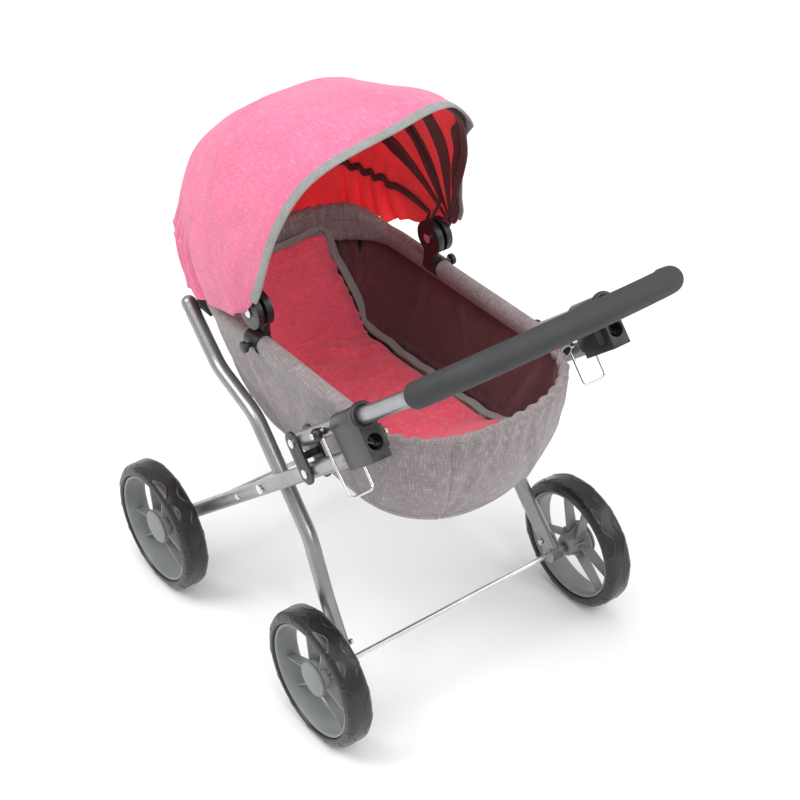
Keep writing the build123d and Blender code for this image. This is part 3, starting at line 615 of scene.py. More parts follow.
def rim_grids(centre, axis):
    """Deep barrel, cupped hub with its boss, six blades in pairs, and ribs on the inner boss."""
    barrel = corner_cut([(12.4, 62.2), (13.2, 61.4), (13.0, 59.6), (11.6, 58.6), (2.0, 57.2),
                         (-8.0, 57.0), (-12.4, 58.8), (-13.0, 61.0), (-12.2, 62.2)], 2)
    hub = corner_cut([(6.6, 3.4), (6.6, 18.4), (5.6, 19.4), (1.6, 19.2), (-2.4, 14.0), (-4.0, 12.2),
                      (-16.6, 11.4), (-17.6, 10.4), (-17.6, 6.2), (-16.4, 6.0), (-10.0, 3.4)], 2)
    grids = [turned(barrel, centre, axis, 128), turned(hub, centre, axis, 72)]
    e1, e2 = np.array([0.0, 1.0, 0.0]), np.array([0.0, 0.0, 1.0])

    def blade(start, end, low, high, half):
        """A thin wall from start to end in the wheel's plane; low and high are its x limits."""
        share = np.linspace(0, 1, 12)[:, None]
        line = np.array(start) + share * (np.array(end) - np.array(start))
        path = centre + line[:, :1] * e1 + line[:, 1:] * e2
        path = path + axis * (low[0] + high[0]) / 2
        half_depth = (high[0] - low[0]) / 2 + share * ((high[1] - low[1]) - (high[0] - low[0])) / 2
        shift = share * ((low[1] + high[1]) - (low[0] + high[0])) / 2
        base = oval_outline(1.0, half, 6.0, 24)
        outline = np.stack([base[None, :, 0] * half_depth + shift,
                            np.broadcast_to(base[None, :, 1], (12, len(base)))], -1)
        return closed_ends(carried(path, axis, outline), 0.2, 2)

    for number in range(3):
        middle = math.radians(90 + 120 * number)
        for lean in (-1, 1):
            near = np.array([math.cos(middle + lean * 0.62), math.sin(middle + lean * 0.62)]) * 13.0
            far = np.array([math.cos(middle + lean * 0.27), math.sin(middle + lean * 0.27)]) * 58.0
            grids.append(blade(near, far, (-7.5, -6.0), (6.2, 3.6), 1.15))
    for number in range(6):
        turn = math.radians(30 + 60 * number)
        out = np.array([math.cos(turn), math.sin(turn)])
        grids.append(blade(out * 11.0, out * 19.0, (-16.0, -4.0), (-3.0, -2.0), 0.8))
    return grids


def cap_grid(centre, axis):
    """Hub cap: a low dome with a rounded edge and a shallow ring groove."""
    edge = corner_cut([(6.7, 0.0), (6.7, 18.6), (8.2, 19.5), (9.8, 18.9), (10.5, 17.0), (10.3, 15.9),
                       (10.7, 15.0), (11.2, 8.0), (11.4, 0.0)], 2, closed=False)
    return turned(edge, centre, axis, 96)


class STROLLER_OT_wheels(bpy.types.Operator):
    """Tyres with a raised wave tread, spoked rims and hub caps"""
    bl_idname = "stroller.wheels"
    bl_label = "Wheels"

    def execute(self, context):
        sizes = context.scene.stroller_sizes
        for axle in AXLES:
            for side_name, side in SIDES:
                corner = f"{axle}_{side_name}"
                centre, axis = wheel_hub(f"{corner}_tyre", side)
                radius = sizes.wheel_radius / MM - 0.6
                pieces = (
                    ("tyre", [tyre_grid(centre, axis, radius, 14.7, sizes.tread_waves)],
                     "tyre_rubber", "rubber", None),
                    ("rim", rim_grids(centre, axis), "rim_plastic_grey", "rim", 40),
                    ("hub_cap", [cap_grid(centre, axis)], "rim_plastic_grey", "rim", 40))
                for piece, grids, slot, finish, angle in pieces:
                    made = build_mesh(f"{corner}_{piece}_moulding", grids)
                    fit_out(made, f"{corner}_wheel", MATERIALS[finish],
                            (f"{corner}_{piece}",), angle)
                paint_nodes(MATERIALS["black"], f"{corner}_bush")
        return {"FINISHED"}


# ---- frame fittings -----------------------------------------------------------------------
def bar_point(distance):
    """The push bar's centreline at signed distances from its middle, by its three runs."""
    bow_r = (BAR_X - BAR_CORNER_R * (1 - math.cos(BAR_CORNER_TURN))) / math.cos(BAR_CORNER_TURN)
    bow_length = bow_r * (math.pi / 2 - BAR_CORNER_TURN)
    away = np.abs(distance)
    on_bow = math.pi / 2 - np.minimum(away, bow_length) / bow_r
    on_corner = BAR_CORNER_TURN - np.clip((away - bow_length) / BAR_CORNER_R, 0, BAR_CORNER_TURN)
    corner_length = BAR_CORNER_R * BAR_CORNER_TURN
    on_leg = np.maximum(away - bow_length - corner_length, 0)
    past_bow = away > bow_length
    top = BAR_LEG_END + BAR_CORNER_R * math.sin(BAR_CORNER_TURN)
    x = np.where(past_bow, BAR_X - BAR_CORNER_R * (1 - np.cos(on_corner)), bow_r * np.cos(on_bow))
    s = np.where(past_bow, BAR_LEG_END + BAR_CORNER_R * np.sin(on_corner) - on_leg,
                 top + bow_r * (np.sin(on_bow) - math.sin(BAR_CORNER_TURN)))
    x = np.where(distance < 0, -x, x)
    return BAR_ORIGIN + x[:, None] * np.array([1.0, 0, 0]) + s[:, None] * TUBE_DIR


def along_bar(s, t=0.0, x=0.0):
    return BAR_ORIGIN + s * TUBE_DIR + t * TUBE_UP + np.array([x, 0.0, 0.0])


class STROLLER_OT_grip(bpy.types.Operator):
    """Foam sleeve on the push bar, with fine ribs round it"""
    bl_idname = "stroller.grip"
    bl_label = "Grip"

    def execute(self, context):
        sizes = context.scene.stroller_sizes
        radius = sizes.grip_diameter / MM / 2
        half_length = 168.5
        pitch = sizes.rib_pitch / MM
        count = int(2 * half_length / pitch) * 7
        distance = np.linspace(-half_length, half_length, count)
        path = bar_point(distance)
        end = np.clip((half_length - np.abs(distance)) / 3.0, 0, 1)
        rounding = 1.8 * (1 - np.sqrt(1 - (1 - end) ** 2))
        rib = 0.14 * np.cos(2 * math.pi * distance / pitch) - 0.14
        outline = ring_outline(1.0, 40)[None] * (radius + rib - rounding)[:, None, None]
        skin = carried(path, TUBE_UP, outline)
        bore = carried(path, TUBE_UP, ring_outline(8.05, 40))
        ends = [np.stack([skin[0], bore[0]]), np.stack([skin[-1], bore[-1]])]
        grip = build_mesh("foam_grip", [skin, bore] + ends)
        fit_out(grip, "handle", MATERIALS["foam"], ("handle_grip",), 50)
        return {"FINISHED"}


def rivet_head(centre, axis, radius=4.3, height=1.5, rise=0.0):
    """A domed rivet head with a shallow dimple, turned about its shank."""
    profile = corner_cut([(0.0, 0.0), (0.0, radius), (height * 0.45, radius), (height, radius * 0.72),
                          (height * 1.05, radius * 0.4), (height * 0.6, radius * 0.3),
                          (height * 0.6, 0.0)], 2, closed=False)
    return turned(profile + np.array([rise, 0.0]), centre, axis, 32)


class STROLLER_OT_fittings(bpy.types.Operator):
    """Links, joint brackets, discs and brackets with rounded edges; tubes, wires and rivets"""
    bl_idname = "stroller.fittings"
    bl_label = "Frame Fittings"

    def execute(self, context):
        black = MATERIALS["black"]
        for side_name, side in SIDES:
            rounded = ((f"link_{side_name}", "links", 1.1), (f"joint_bracket_{side_name}", "handle", 1.6),
                       (f"head_bracket_{side_name}", "frame", 1.6),
                       (f"hood_bracket_{side_name}", "frame", 1.0),
                       (f"hood_disc_{side_name}", "hood_front", 1.2))
            for name, body, width in rounded:
                made = softened_copy(f"{name}_moulding", [name], width)
                fit_out(made, body, black, (name,), 35)
        knobs = softened_copy("hood_stop_knob_mouldings", ["hood_stop_knobs"], 1.4)
        fit_out(knobs, "frame", black, ("hood_stop_knobs",), 35)
        paint_nodes(black, "bail_knobs", "pivot_washers")
        paint_nodes(MATERIALS["paint"], "rear_leg_left", "rear_leg_right", "front_tube_left",
                    "front_tube_right", "handle_tube", "rim_tube")
        paint_nodes(MATERIALS["steel"], "rear_axle", "front_axle", "rear_axle_bolts",
                    "pivot_rivets", "front_tube_rivets", "link_rivets", "bail_left", "bail_right",
                    "rim_end_pins", "head_rivets", "hood_rivets")
        paint_nodes(MATERIALS["board"], "base_board")
        self.collars()
        return {"FINISHED"}

    def collars(self):
        """A raised ring at the rear of each joint bracket, and the silver rivets' heads."""
        ring = corner_cut([(0.0, 8.4), (0.0, 12.2), (1.2, 13.4), (5.6, 13.4), (6.8, 12.2),
                           (6.8, 8.4)], 2)
        for side_name, side in SIDES:
            place = along_bar(181.0, 0.0, side * BAR_X)
            made = build_mesh(f"bracket_collar_{side_name}", [turned(ring, place, TUBE_DIR, 64)])
            fit_out(made, "handle", MATERIALS["black"], (), 40)
            out = np.array([float(side), 0.0, 0.0])
            knob = along_bar(119.0, 0.0, side * (BAR_X + 22.6))
            made = build_mesh(f"knob_rivet_{side_name}", [rivet_head(knob, out, 3.2, 1.6)])
            fit_out(made, "handle", MATERIALS["steel"])


# ---- cloth tools --------------------------------------------------------------------------
def sheet_normals(grid, wraps=False):
    """Normals of a sheet; a wrapped sheet borrows a column from its far side at the seam."""
    if wraps:
        grid = np.concatenate([grid[:, -2:-1], grid, grid[:, 1:2]], axis=1)
        return normals_of(grid)[:, 1:-1]
    return normals_of(grid)


def cloth_shell(grid, thickness, core, wraps=False):
    """A sheet and its copy moved by the thickness towards the core, joined round the border.

    Returns the grids, their weave maps in metres, and a mark that is 1 on the core's side.
    """
    normal = sheet_normals(grid, wraps)
    if np.sum(normal * (core - grid)) < 0:
        normal = -normal
    inner = grid + normal * thickness
    u = lengths_along(grid, 1).mean(axis=0) * MM
    v = lengths_along(grid, 0).mean(axis=1) * MM
    flat = np.stack(np.broadcast_arrays(u[None, :], v[:, None]), -1)
    grids, maps, sides = [grid, inner], [flat, flat], [0.0, 1.0]
    borders = [np.s_[0], np.s_[-1]] + ([] if wraps else [np.s_[:, 0], np.s_[:, -1]])
    for border in borders:
        grids.append(np.stack([grid[border], inner[border]]))
        maps.append(np.stack([flat[border], flat[border]]))
        sides.append(0.0)
    marks = [np.full(g.shape[:2], side) for g, side in zip(grids, sides)]
    return grids, maps, marks


def flat_size(grid):
    """Greatest width and length of a grid in metres, and its area in square metres.

    This measures the surface as it is built, not a cloth cut before it was hung.
    """
    width = lengths_along(grid, 1)[:, -1].max() * MM
    length = lengths_along(grid, 0)[-1].max() * MM
    a, b = np.diff(grid[:-1], axis=1), np.diff(grid[:, :-1], axis=0)
    area = np.linalg.norm(np.cross(a, b), axis=-1).sum() * MM * MM
    return (float(width), float(length)), float(min(area, width * length))


def tape(name, path, across, half_width, half_thick, body, finish, power=3.0, ends=1.5):
    """Flat cloth tape carried along a path; across is the direction of its width."""
    outline = oval_outline(half_width, half_thick, power, 20)
    grid = closed_ends(carried(path, across, outline), ends, 3)
    u = lengths_along(grid, 0) * MM
    v = lengths_along(grid, 1) * MM
    made = build_mesh(name, [grid], [np.stack([u, v], -1)])
    return fit_out(made, body, MATERIALS[finish])


# ---- hood ---------------------------------------------------------------------------------
FRONT_BOW = 70.0
MIDDLE_BOW = 116.0
REAR_BOW = 170.0
HEM_ANGLE = 196.5
CASING_ANGLES = (FRONT_BOW + 2.5, 93.0, MIDDLE_BOW, 143.0)


def hood_arch(angle, share):
    """A point of the hood by its angle round the hubs and its share of the way across.

    Superellipse |x / half|^n + |(r - r0) / (radius - r0)|^n = 1, n = 2.7 and squarer towards
    the front; the radius shrinks with the square of the angle past 140 degrees and by a soft
    dip at 112, the half width away from 146 degrees.
    """
    sizes = bpy.context.scene.stroller_sizes
    radius = sizes.hood_radius / MM - 0.0078 * np.maximum(angle - 140.0, 0) ** 2
    radius = radius - 20.5 * hump(angle - 112.0, 42.0)
    half = sizes.hood_half_width / MM - 0.0010 * (angle - 146.0) ** 2
    hub = 4.0
    turn = share * math.pi
    c, s = np.cos(turn), np.sin(turn)
    power = 2 / (2.7 + 0.8 * hump(angle - 62.0, 25.0))
    x = half * np.sign(c) * np.abs(c) ** power
    r = hub + (radius - hub) * np.abs(s) ** power
    return x, r


def even_shares(angle, columns):
    """Shares across the arch that give columns of equal length along it."""
    share = np.linspace(0, 1, 2001)
    x, r = hood_arch(np.float64(angle), share)
    run = np.concatenate([[0], np.cumsum(np.hypot(np.diff(x), np.diff(r)))])
    return np.interp(np.linspace(0, run[-1], columns), run, share)


def front_edge(x, r):
    """Angle of the hood's front edge: it leans forward low on the left and waves on the right."""
    left = FRONT_BOW - 2.0 - 24.0 * np.exp(-r / 95.0)
    right = (FRONT_BOW - 2.0 + 8.0 * hump(r - 100.0, 50.0) - 26.0 * hump(r - 26.0, 15.0)
             + 1.2 * np.sin(r / 9.0) * smooth_step(r / 60.0))
    side = smooth_step(x / 120.0 + 0.5)
    return left * side + right * (1 - side)


def hood_points(angle, share):
    """Places of the hood's cloth with its sag between bows, gathers at the hem and wrinkles."""
    x, r = hood_arch(angle, share)
    q = share * 660.0
    outer = smooth_step((r - 60.0) / 90.0)
    sag = np.zeros(np.broadcast(angle, share).shape)
    for low, high, depth in ((FRONT_BOW, MIDDLE_BOW, 3.2), (MIDDLE_BOW, 143.0, 2.6),
                             (143.0, REAR_BOW, 2.6), (REAR_BOW, HEM_ANGLE + 14.0, 3.0)):
        between = np.clip((angle - low) / (high - low), 0, 1)
        sag = sag + depth * np.sin(math.pi * between) ** 0.8
    ridge = sum(hump(angle - bow, 1.4) for bow in (FRONT_BOW + 1.0, MIDDLE_BOW, REAR_BOW))
    low_rear = smooth_step((angle - 140.0) / (HEM_ANGLE - 140.0))
    folds = np.zeros_like(sag)
    for place, lean, width, depth in ((66.0, 0.5, 7.0, 5.5), (96.0, 0.25, 5.5, 7.5),
                                      (122.0, 0.0, 6.0, 8.0), (150.0, -0.15, 8.0, 6.5),
                                      (184.0, -0.3, 9.0, 5.0), (226.0, -0.2, 9.0, 3.4),
                                      (270.0, 0.1, 10.0, 2.6)):
        for mirrored in (q, 660.0 - q):
            groove = hump(mirrored - place - lean * (HEM_ANGLE - angle), width)
            rise = hump(mirrored - place - 15.0 - lean * (HEM_ANGLE - angle), width * 1.3)
            folds = folds + depth * (groove - 0.45 * rise)
    folds = 1.5 * folds * low_rear ** 0.9
    hem = 1.5 * np.sin(q / 8.0) * smooth_step((angle - HEM_ANGLE + 7.0) / 7.0)
    front_pull = 2.2 * hump(angle - 80.0, 7.0) * np.sin(q / 41.0 + 0.6) * outer
    wrinkle = (1.5 + 1.4 * low_rear) * soft_noise(q / 34.0, angle / 9.0, 5) * smooth_step(r / 50.0)
    depth = sag * outer + folds + hem + front_pull - 1.0 * ridge * outer - wrinkle
    flare = 5.5 * hump(angle - 72.0, 14.0) * smooth_step(-x / 60.0) * smooth_step((r - 50.0) / 60.0)
    depth = depth - flare
    edge_fade = smooth_step(r / 40.0)
    depth = depth * edge_fade
    c = np.cos(share * math.pi)
    lean_x = np.sign(c) * np.abs(c) ** 1.4
    lean_r = np.sqrt(np.maximum(1 - lean_x ** 2, 0))
    x = x - depth * lean_x
    r = np.maximum(r - depth * lean_r, 0.6)
    turn = np.radians(angle)
    return np.stack([x, HUB_Y + r * np.cos(turn), HUB_Z + r * np.sin(turn)], -1)


def casing_mark(angle, share):
    """1 inside the casings, whose dark red is painted shade: up to 11 mm either side of their angles, 2
    mm at the hub.
    """
    _, r = hood_arch(angle, share)
    half = 2.0 + 9.0 * smooth_step(r / 110.0)
    inside = np.zeros(np.broadcast(angle, share).shape)
    for place in CASING_ANGLES:
        off = np.abs(np.radians(angle - place)) * np.maximum(r, 10.0)
        inside = np.maximum(inside, smooth_step((half - off) / 1.2 + 0.5))
    front = np.radians(angle - front_edge(*hood_arch(angle, share))) * np.maximum(r, 10.0)
    return np.maximum(inside, smooth_step((13.0 - front) / 1.5 + 0.5))


def hood_cover(name, start, end, rows):
    """One gore of the hood between two angles; either limit may be the waved front edge."""
    share = even_shares(100.0, 300)[None, :]
    step = np.linspace(0, 1, rows)[:, None]
    if start is None:
        start = front_edge(*hood_arch(np.float64(FRONT_BOW), share))
    if end is None:
        end = HEM_ANGLE + 1.0 * np.sin(share * 82.0)
    angle = start + step * (end - start)
    grid = hood_points(angle, share)
    core = np.array([0.0, HUB_Y, HUB_Z])
    grids, maps, lining = cloth_shell(grid, 1.3, core)
    casing = casing_mark(angle, share + 0 * angle)
    cased = [np.zeros_like(mark) for mark in lining]
    cased[1] = casing
    relief = sheet_normals(grids[1])
    if np.sum(relief * (core - grids[1])) < 0:
        relief = -relief
    calm = smooth_step(np.minimum(step, 1 - step) * 12.0)
    grids[1] = grids[1] + relief * (casing * calm * 0.9)[..., None]
    made = build_mesh(name, grids, maps, {"lining": lining, "casing": cased})
    return made, grid


class STROLLER_OT_hood(bpy.types.Operator):
    """Three gores of one cloth over the bows, with casings, front binding and bow sleeves"""
    bl_idname = "stroller.hood"
    bl_label = "Hood"

    def execute(self, context):
        cloth_finish = MATERIALS["hood_cloth"]
        parts = (("rear", REAR_BOW, None, 40, "frame", None),
                 ("middle", MIDDLE_BOW, REAR_BOW, 70, "frame", "hood_middle"),
                 ("front", None, MIDDLE_BOW, 66, "hood_middle", "hood_front"))
        for part, start, end, rows, body, other in parts:
            made, grid = hood_cover(f"hood_{part}_cover", start, end, rows)
            flat, area = flat_size(grid)
            shade(made)
            made.data.materials.append(cloth_finish)
            if other is None:
                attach(made, body)
            else:
                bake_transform(made)
            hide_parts(f"hood_panel_{part}")
        self.binding()
        for part, angle, body in (("rear", REAR_BOW, "frame"), ("middle", MIDDLE_BOW, "hood_middle"),
                                  ("front", FRONT_BOW + 2.5, "hood_front")):
            self.bow_sleeve(part, angle, body)
        return {"FINISHED"}

    def bow_top(self, angle):
        turn = math.radians(angle)
        return (0.0, (HUB_Y + 200.0 * math.cos(turn)) * MM, (HUB_Z + 200.0 * math.sin(turn)) * MM)

    def binding(self):
        """Grey tape folded over the front edge."""
        share = even_shares(FRONT_BOW, 420)
        share = share[(share > 0.012) & (share < 0.988)]
        edge = front_edge(*hood_arch(np.float64(FRONT_BOW), share))
        path = hood_points(edge, share)
        back = hood_points(edge + 3.0, share)
        tape("hood_front_binding", path + (back - path) * 0.18, unit(back - path), 4.8, 1.5,
             "hood_front", "binding")

    def bow_sleeve(self, part, angle, body):
        """The cloth sleeve round a bow, from one hub to the other, just inside the cover."""
        share = even_shares(angle, 260)
        x, r = hood_arch(np.float64(angle), share)
        keep = r > 34.0
        cover = hood_points(np.full_like(share, angle), share)[keep]
        hub_point = np.array([0.0, HUB_Y, HUB_Z])
        turn = math.radians(angle)
        out = np.array([0.0, math.cos(turn), math.sin(turn)])
        inset = {"rear": 6.0, "middle": 4.6, "front": 4.6}[part]
        radial = (cover - hub_point) @ out
        inner_x = cover[:, 0] * (1 - inset / 128.0)
        path = hub_point + np.stack([inner_x, radial * 0, radial * 0], 1)
        path = path + (radial * (1 - inset / 205.0))[:, None] * out
        root_x = {"rear": 102.5, "middle": 108.0, "front": 113.3}[part]
        share_in = np.linspace(0, 1, 14)[:-1, None]

        def lead_in(sign, first):
            root = hub_point + np.array([sign * root_x, 0, 0]) + out * 12.0
            bend = smooth_step(share_in)
            return root + (first - root) * np.concatenate([bend, share_in, share_in], 1)

        path = np.concatenate([lead_in(1, path[0]), path, lead_in(-1, path[-1])[::-1]])
        distance = lengths_along(path, 0)
        near_end = np.minimum(distance, distance[-1] - distance)
        swell = smooth_step((near_end - 14.0) / 50.0)
        base = oval_outline(1.0, 1.0, 2.2, 20)
        outline = np.stack([base[None, :, 0] * (1.8 + 0.3 * swell[:, None]),
                            base[None, :, 1] * (2.0 + 2.8 * swell[:, None])], -1)
        side = unit(np.cross(np.gradient(path, axis=0), np.cross(out, [1.0, 0, 0])))
        grid = closed_ends(carried(path, side, outline), 1.0, 2)
        maps = np.stack([lengths_along(grid, 0), lengths_along(grid, 1)], -1) * MM
        made = build_mesh(f"hood_{part}_bow_sleeve", [grid], [maps])
        fit_out(made, body, MATERIALS["casing"], (f"hood_bow_{part}",))


# ---- basket -------------------------------------------------------------------------------
def plan_outline(half_width, foot_y, foot_run, head_y, head_run, power, count):
    """Closed outline seen from above: straight sides between superellipse ends.

    It starts at the middle of the foot end and goes round by the left side, in equal steps.
    """
    a = np.linspace(0, math.pi / 2, 200)
    grow, fade = np.sin(a) ** (2 / power), np.cos(a) ** (2 / power)
    foot = np.stack([half_width * grow, foot_y - foot_run + foot_run * fade], 1)
    head = np.stack([half_width * grow, head_y + head_run - head_run * fade], 1)[::-1]
    left = np.concatenate([foot, head])
    right = left[::-1] * np.array([-1.0, 1.0])
    line = np.concatenate([left, right[1:]])
    run = lengths_along(line, 0)
    even = np.linspace(0, run[-1], count + 1)
    return np.stack([np.interp(even, run, line[:, i]) for i in (0, 1)], 1)


def outward(outline):
    """Horizontal normals of a closed outline, pointing away from its middle."""
    closed = np.concatenate([outline[-2:-1], outline, outline[1:2]])
    tangent = unit(np.gradient(closed, axis=0)[1:-1])
    return np.stack([-tangent[:, 1], tangent[:, 0]], 1)


def basket_grid(count):
    """The basket's sheet: a hem inside the rim, over the rim, down the wall, in to the floor.

    Rim part: centre + radius * (cos a, sin a) in the upright plane across the rim.  Wall and
    floor: the top outline mixed with the bottom one by q, whose height is a smooth curve.
    """
    top = plan_outline(108.5, 184.0, 88.0, -216.0, 84.0, 2.35, count)
    bottom = plan_outline(86.0, 140.0, 92.0, -172.0, 88.0, 2.25, count)
    out = outward(top)
    y = top[:, 1]
    foot = smooth_step((y - 98.0) / 26.0)
    head = smooth_step((-150.0 - y) / 45.0)
    run = lengths_along(top, 0)
    radius = 8.7 * (1 - foot) + 4.6 * foot
    rise = 25.0 * head
    drop = 3.0 * foot
    turn_share, gather = rim_gathers(run)
    uneven = 0.6 + 0.4 * np.sin(11 * turn_share + 0.8)
    wave = (0.9 * foot * gather + 1.0 * head * np.sin(HEAD_WAVES * turn_share)) * uneven
    centre_z = RIM_Z - drop + wave
    in_shift = -foot * 2.0 + 1.2 * foot * np.sin(GATHER_WAVES * turn_share + 1.5) - 5.0 * head
    turn = np.radians(np.concatenate([[232.0], np.linspace(215, -28, 19)]))[:, None]
    reach = np.where(turn > math.radians(225), 1.35, 1.0)
    across = radius * reach * np.cos(turn) + in_shift
    up = radius * reach * np.sin(turn)
    up = up + rise * smooth_step(up / 10.0 + 0.3)
    across = across - 5.0 * head * smooth_step(up / 30.0)
    rim = np.stack([top[:, 0] + across * out[:, 0], top[:, 1] + across * out[:, 1],
                    centre_z + up], -1)
    q = np.concatenate([np.linspace(0.02, 0.80, 52), np.linspace(0.80, 1.0, 22)[1:]])[:, None]
    depth = np.interp(q[:, 0], [0, 0.06, 0.16, 0.30, 0.46, 0.62, 0.76, 0.87, 0.95, 1.0],
                      [10, 22, 42, 64, 84, 101, 113, 121, 125.5, 127.0])[:, None]
    plan = top[None] * (1 - q)[..., None] + bottom[None] * q[..., None]
    start = rim[-1]
    ease = np.exp(-(depth - 10.0) / 9.0)
    belly = 5.0 * np.sin(math.pi * np.clip(depth / 127.0, 0, 1)) * (0.6 + 0.6 * foot)
    wall_x = plan[..., 0] + belly * out[:, 0]
    wall_y = plan[..., 1] + belly * out[:, 1]
    wall_x = wall_x + ease * (start[:, 0] - wall_x[:1])
    wall_y = wall_y + ease * (start[:, 1] - wall_y[:1])
    wall = np.stack([wall_x, wall_y, RIM_Z - depth + ease * (start[:, 2] - RIM_Z + 10.0)], -1)
    wall = wall + basket_relief(run, depth, foot, head)[..., None] * np.pad(out, ((0, 0), (0, 1)))
    shrink = np.linspace(1, 0.02, 16)[1:, None]
    middle = np.array([0.0, -16.0])
    last = wall[-1]
    floor_plan = middle + (last[None, :, :2] - middle) * shrink[..., None]
    floor_z = last[None, :, 2] - 1.6 * (1 - shrink)
    floor = np.concatenate([floor_plan, floor_z[..., None]], -1)
    return np.concatenate([rim, wall[1:], floor])


# Waves round the whole rim: whole numbers, so that the two ends of the cloth meet.
GATHER_WAVES = 62
HEAD_WAVES = 80
DRIFT_WAVES = 7


def rim_gathers(run):
    """Angle round the rim at each distance along it, and the height of the gathers there."""
    turn_share = 2 * math.pi * run / run[-1]
    return turn_share, np.sin(GATHER_WAVES * turn_share + 1.2 * np.sin(DRIFT_WAVES * turn_share))


def basket_relief(run, depth, foot, head):
    """Outward height of gathers, soft wrinkles and seam grooves over the basket's wall."""
    below = np.maximum(depth - 10.0, 0)
    total = run[-1]
    turn_share, fine = rim_gathers(run)
    gathers = 1.5 * fine * np.exp(-below / 22.0) * foot
    gathers = gathers + 1.8 * np.sin(HEAD_WAVES * turn_share) * np.exp(-below / 30.0) * head

    def uneven(along):
        """Two sizes of soft unevenness at a distance round the rim."""
        return (1.5 * soft_noise(along / 26.0, depth / 30.0, 11)
                + 0.9 * soft_noise(along / 11.0, depth / 26.0, 4))

    to_start = smooth_step((run - total + 80.0) / 80.0)
    soft = uneven(run) * (1 - to_start) + uneven(run - total) * to_start
    slack = smooth_step(below / 30.0) * smooth_step((127.0 - depth) / 18.0)
    pulls = np.zeros(np.broadcast(run, depth).shape)
    for place, lean, width, height in ((0.035, 0.30, 5.0, 1.6), (0.075, -0.35, 6.0, 2.2),
                                       (0.115, 0.20, 7.0, 1.8), (0.165, -0.5, 8.0, 2.0),
                                       (0.235, 0.4, 9.0, 1.6), (0.305, -0.4, 8.0, 2.0),
                                       (0.365, 0.3, 8.0, 2.2), (0.965, -0.3, 6.0, 1.8),
                                       (0.915, 0.3, 7.0, 2.2), (0.84, -0.3, 8.0, 1.8),
                                       (0.74, 0.4, 8.0, 1.6), (0.66, -0.4, 8.0, 2.0)):
        line = (run - place * total - lean * (depth - 60.0) + total / 2) % total - total / 2
        pulls = pulls + height * (hump(line, width) - hump(line - 1.9 * width, width * 1.2))
    seams = np.zeros_like(pulls)
    for place in (0.058, 0.905, 0.5):
        seams = seams - 1.6 * hump(run - place * total, 1.3) + 0.9 * hump(run - place * total - 4.0, 2.2)
    cross = -1.5 * hump(depth - 112.0, 1.6) + 0.8 * hump(depth - 107.0, 2.5)
    hem = 0.9 * hump(depth - 16.0, 2.0) * (1 - foot)
    return gathers + slack * (soft + 0.8 * pulls) + seams + cross * smooth_step((depth - 90) / 12.0) + hem


class STROLLER_OT_basket(bpy.types.Operator):
    """The basket's grey cloth, sewn over the rim and gathered at its foot and head"""
    bl_idname = "stroller.basket"
    bl_label = "Basket"

    def execute(self, context):
        count = 760
        grid = basket_grid(count)
        grids, maps, lining = cloth_shell(grid, 1.2, np.array([0.0, -10.0, 330.0]), wraps=True)
        made = build_mesh("basket_cloth", grids, maps, {"lining": lining})
        fit_out(made, "frame", MATERIALS["basket_cloth"],
                ("bassinet_shell", "rim_sleeve_left", "rim_sleeve_right"))
        flat, area = flat_size(grid)
        return {"FINISHED"}


# ---- pad ----------------------------------------------------------------------------------
PAD_HALF_W = 77.0
PAD_FOOT_Y = 139.0
PAD_FOLD_Y = -166.0


def pad_line(distance):
    """Mid line of the pad in the upright plane: curled foot, flat bed, bend, raised head."""
    flat = PAD_FOOT_Y - PAD_FOLD_Y - 22.0
    bend_r, bend_turn = 22.0, math.radians(73)
    bend = bend_r * bend_turn
    d = np.asarray(distance, float)
    on_bend = np.clip((d - flat) / bend_r, 0, bend_turn)
    past = np.maximum(d - flat - bend, 0)
    y = PAD_FOOT_Y - np.minimum(d, flat) - bend_r * np.sin(on_bend) - past * math.cos(bend_turn)
    z = 259.5 + bend_r * (1 - np.cos(on_bend)) + past * math.sin(bend_turn)
    curl = 36.0 * smooth_step(1 - d / 100.0)
    rear = np.minimum(past / 100.0, 1.0)
    return y - 6.0 * np.sin(math.pi * rear), z + curl


PAD_LENGTH = 420.0


def pad_half_width(distance):
    """Half width along the pad: round foot, straight bed, tapered and rounded head."""
    foot_run, head_run = 62.0, 12.0
    foot = np.clip(1 - distance / foot_run, 0, 1)
    head = np.clip(1 - (PAD_LENGTH - distance) / head_run, 0, 1)
    taper = 19.0 * smooth_step((distance - 312.0) / 100.0)
    body = PAD_HALF_W - taper
    return body * (1 - foot ** 2.6) ** (1 / 2.6) * (1 - 0.22 * head ** 2.5)


def pad_grid(scale, thickness):
    """Closed pad: each cross-section is a flattened oval across the mid line."""
    rows = 150
    distance = np.linspace(0.5, PAD_LENGTH, rows)
    y, z = pad_line(distance)
    path = np.stack([np.zeros(rows), y, z], 1)
    half = pad_half_width(distance) * scale
    base = oval_outline(1.0, 1.0, 3.0, 72)
    near_end = np.minimum(distance, PAD_LENGTH - distance)
    thin = np.sqrt(np.clip(near_end / 7.0, 0.02, 1))
    outline = np.stack([base[None, :, 0] * half[:, None],
                        base[None, :, 1] * (thickness / 2 * thin)[:, None]], -1)
    return closed_ends(carried(path, [1.0, 0, 0], outline), 0.5, 2)


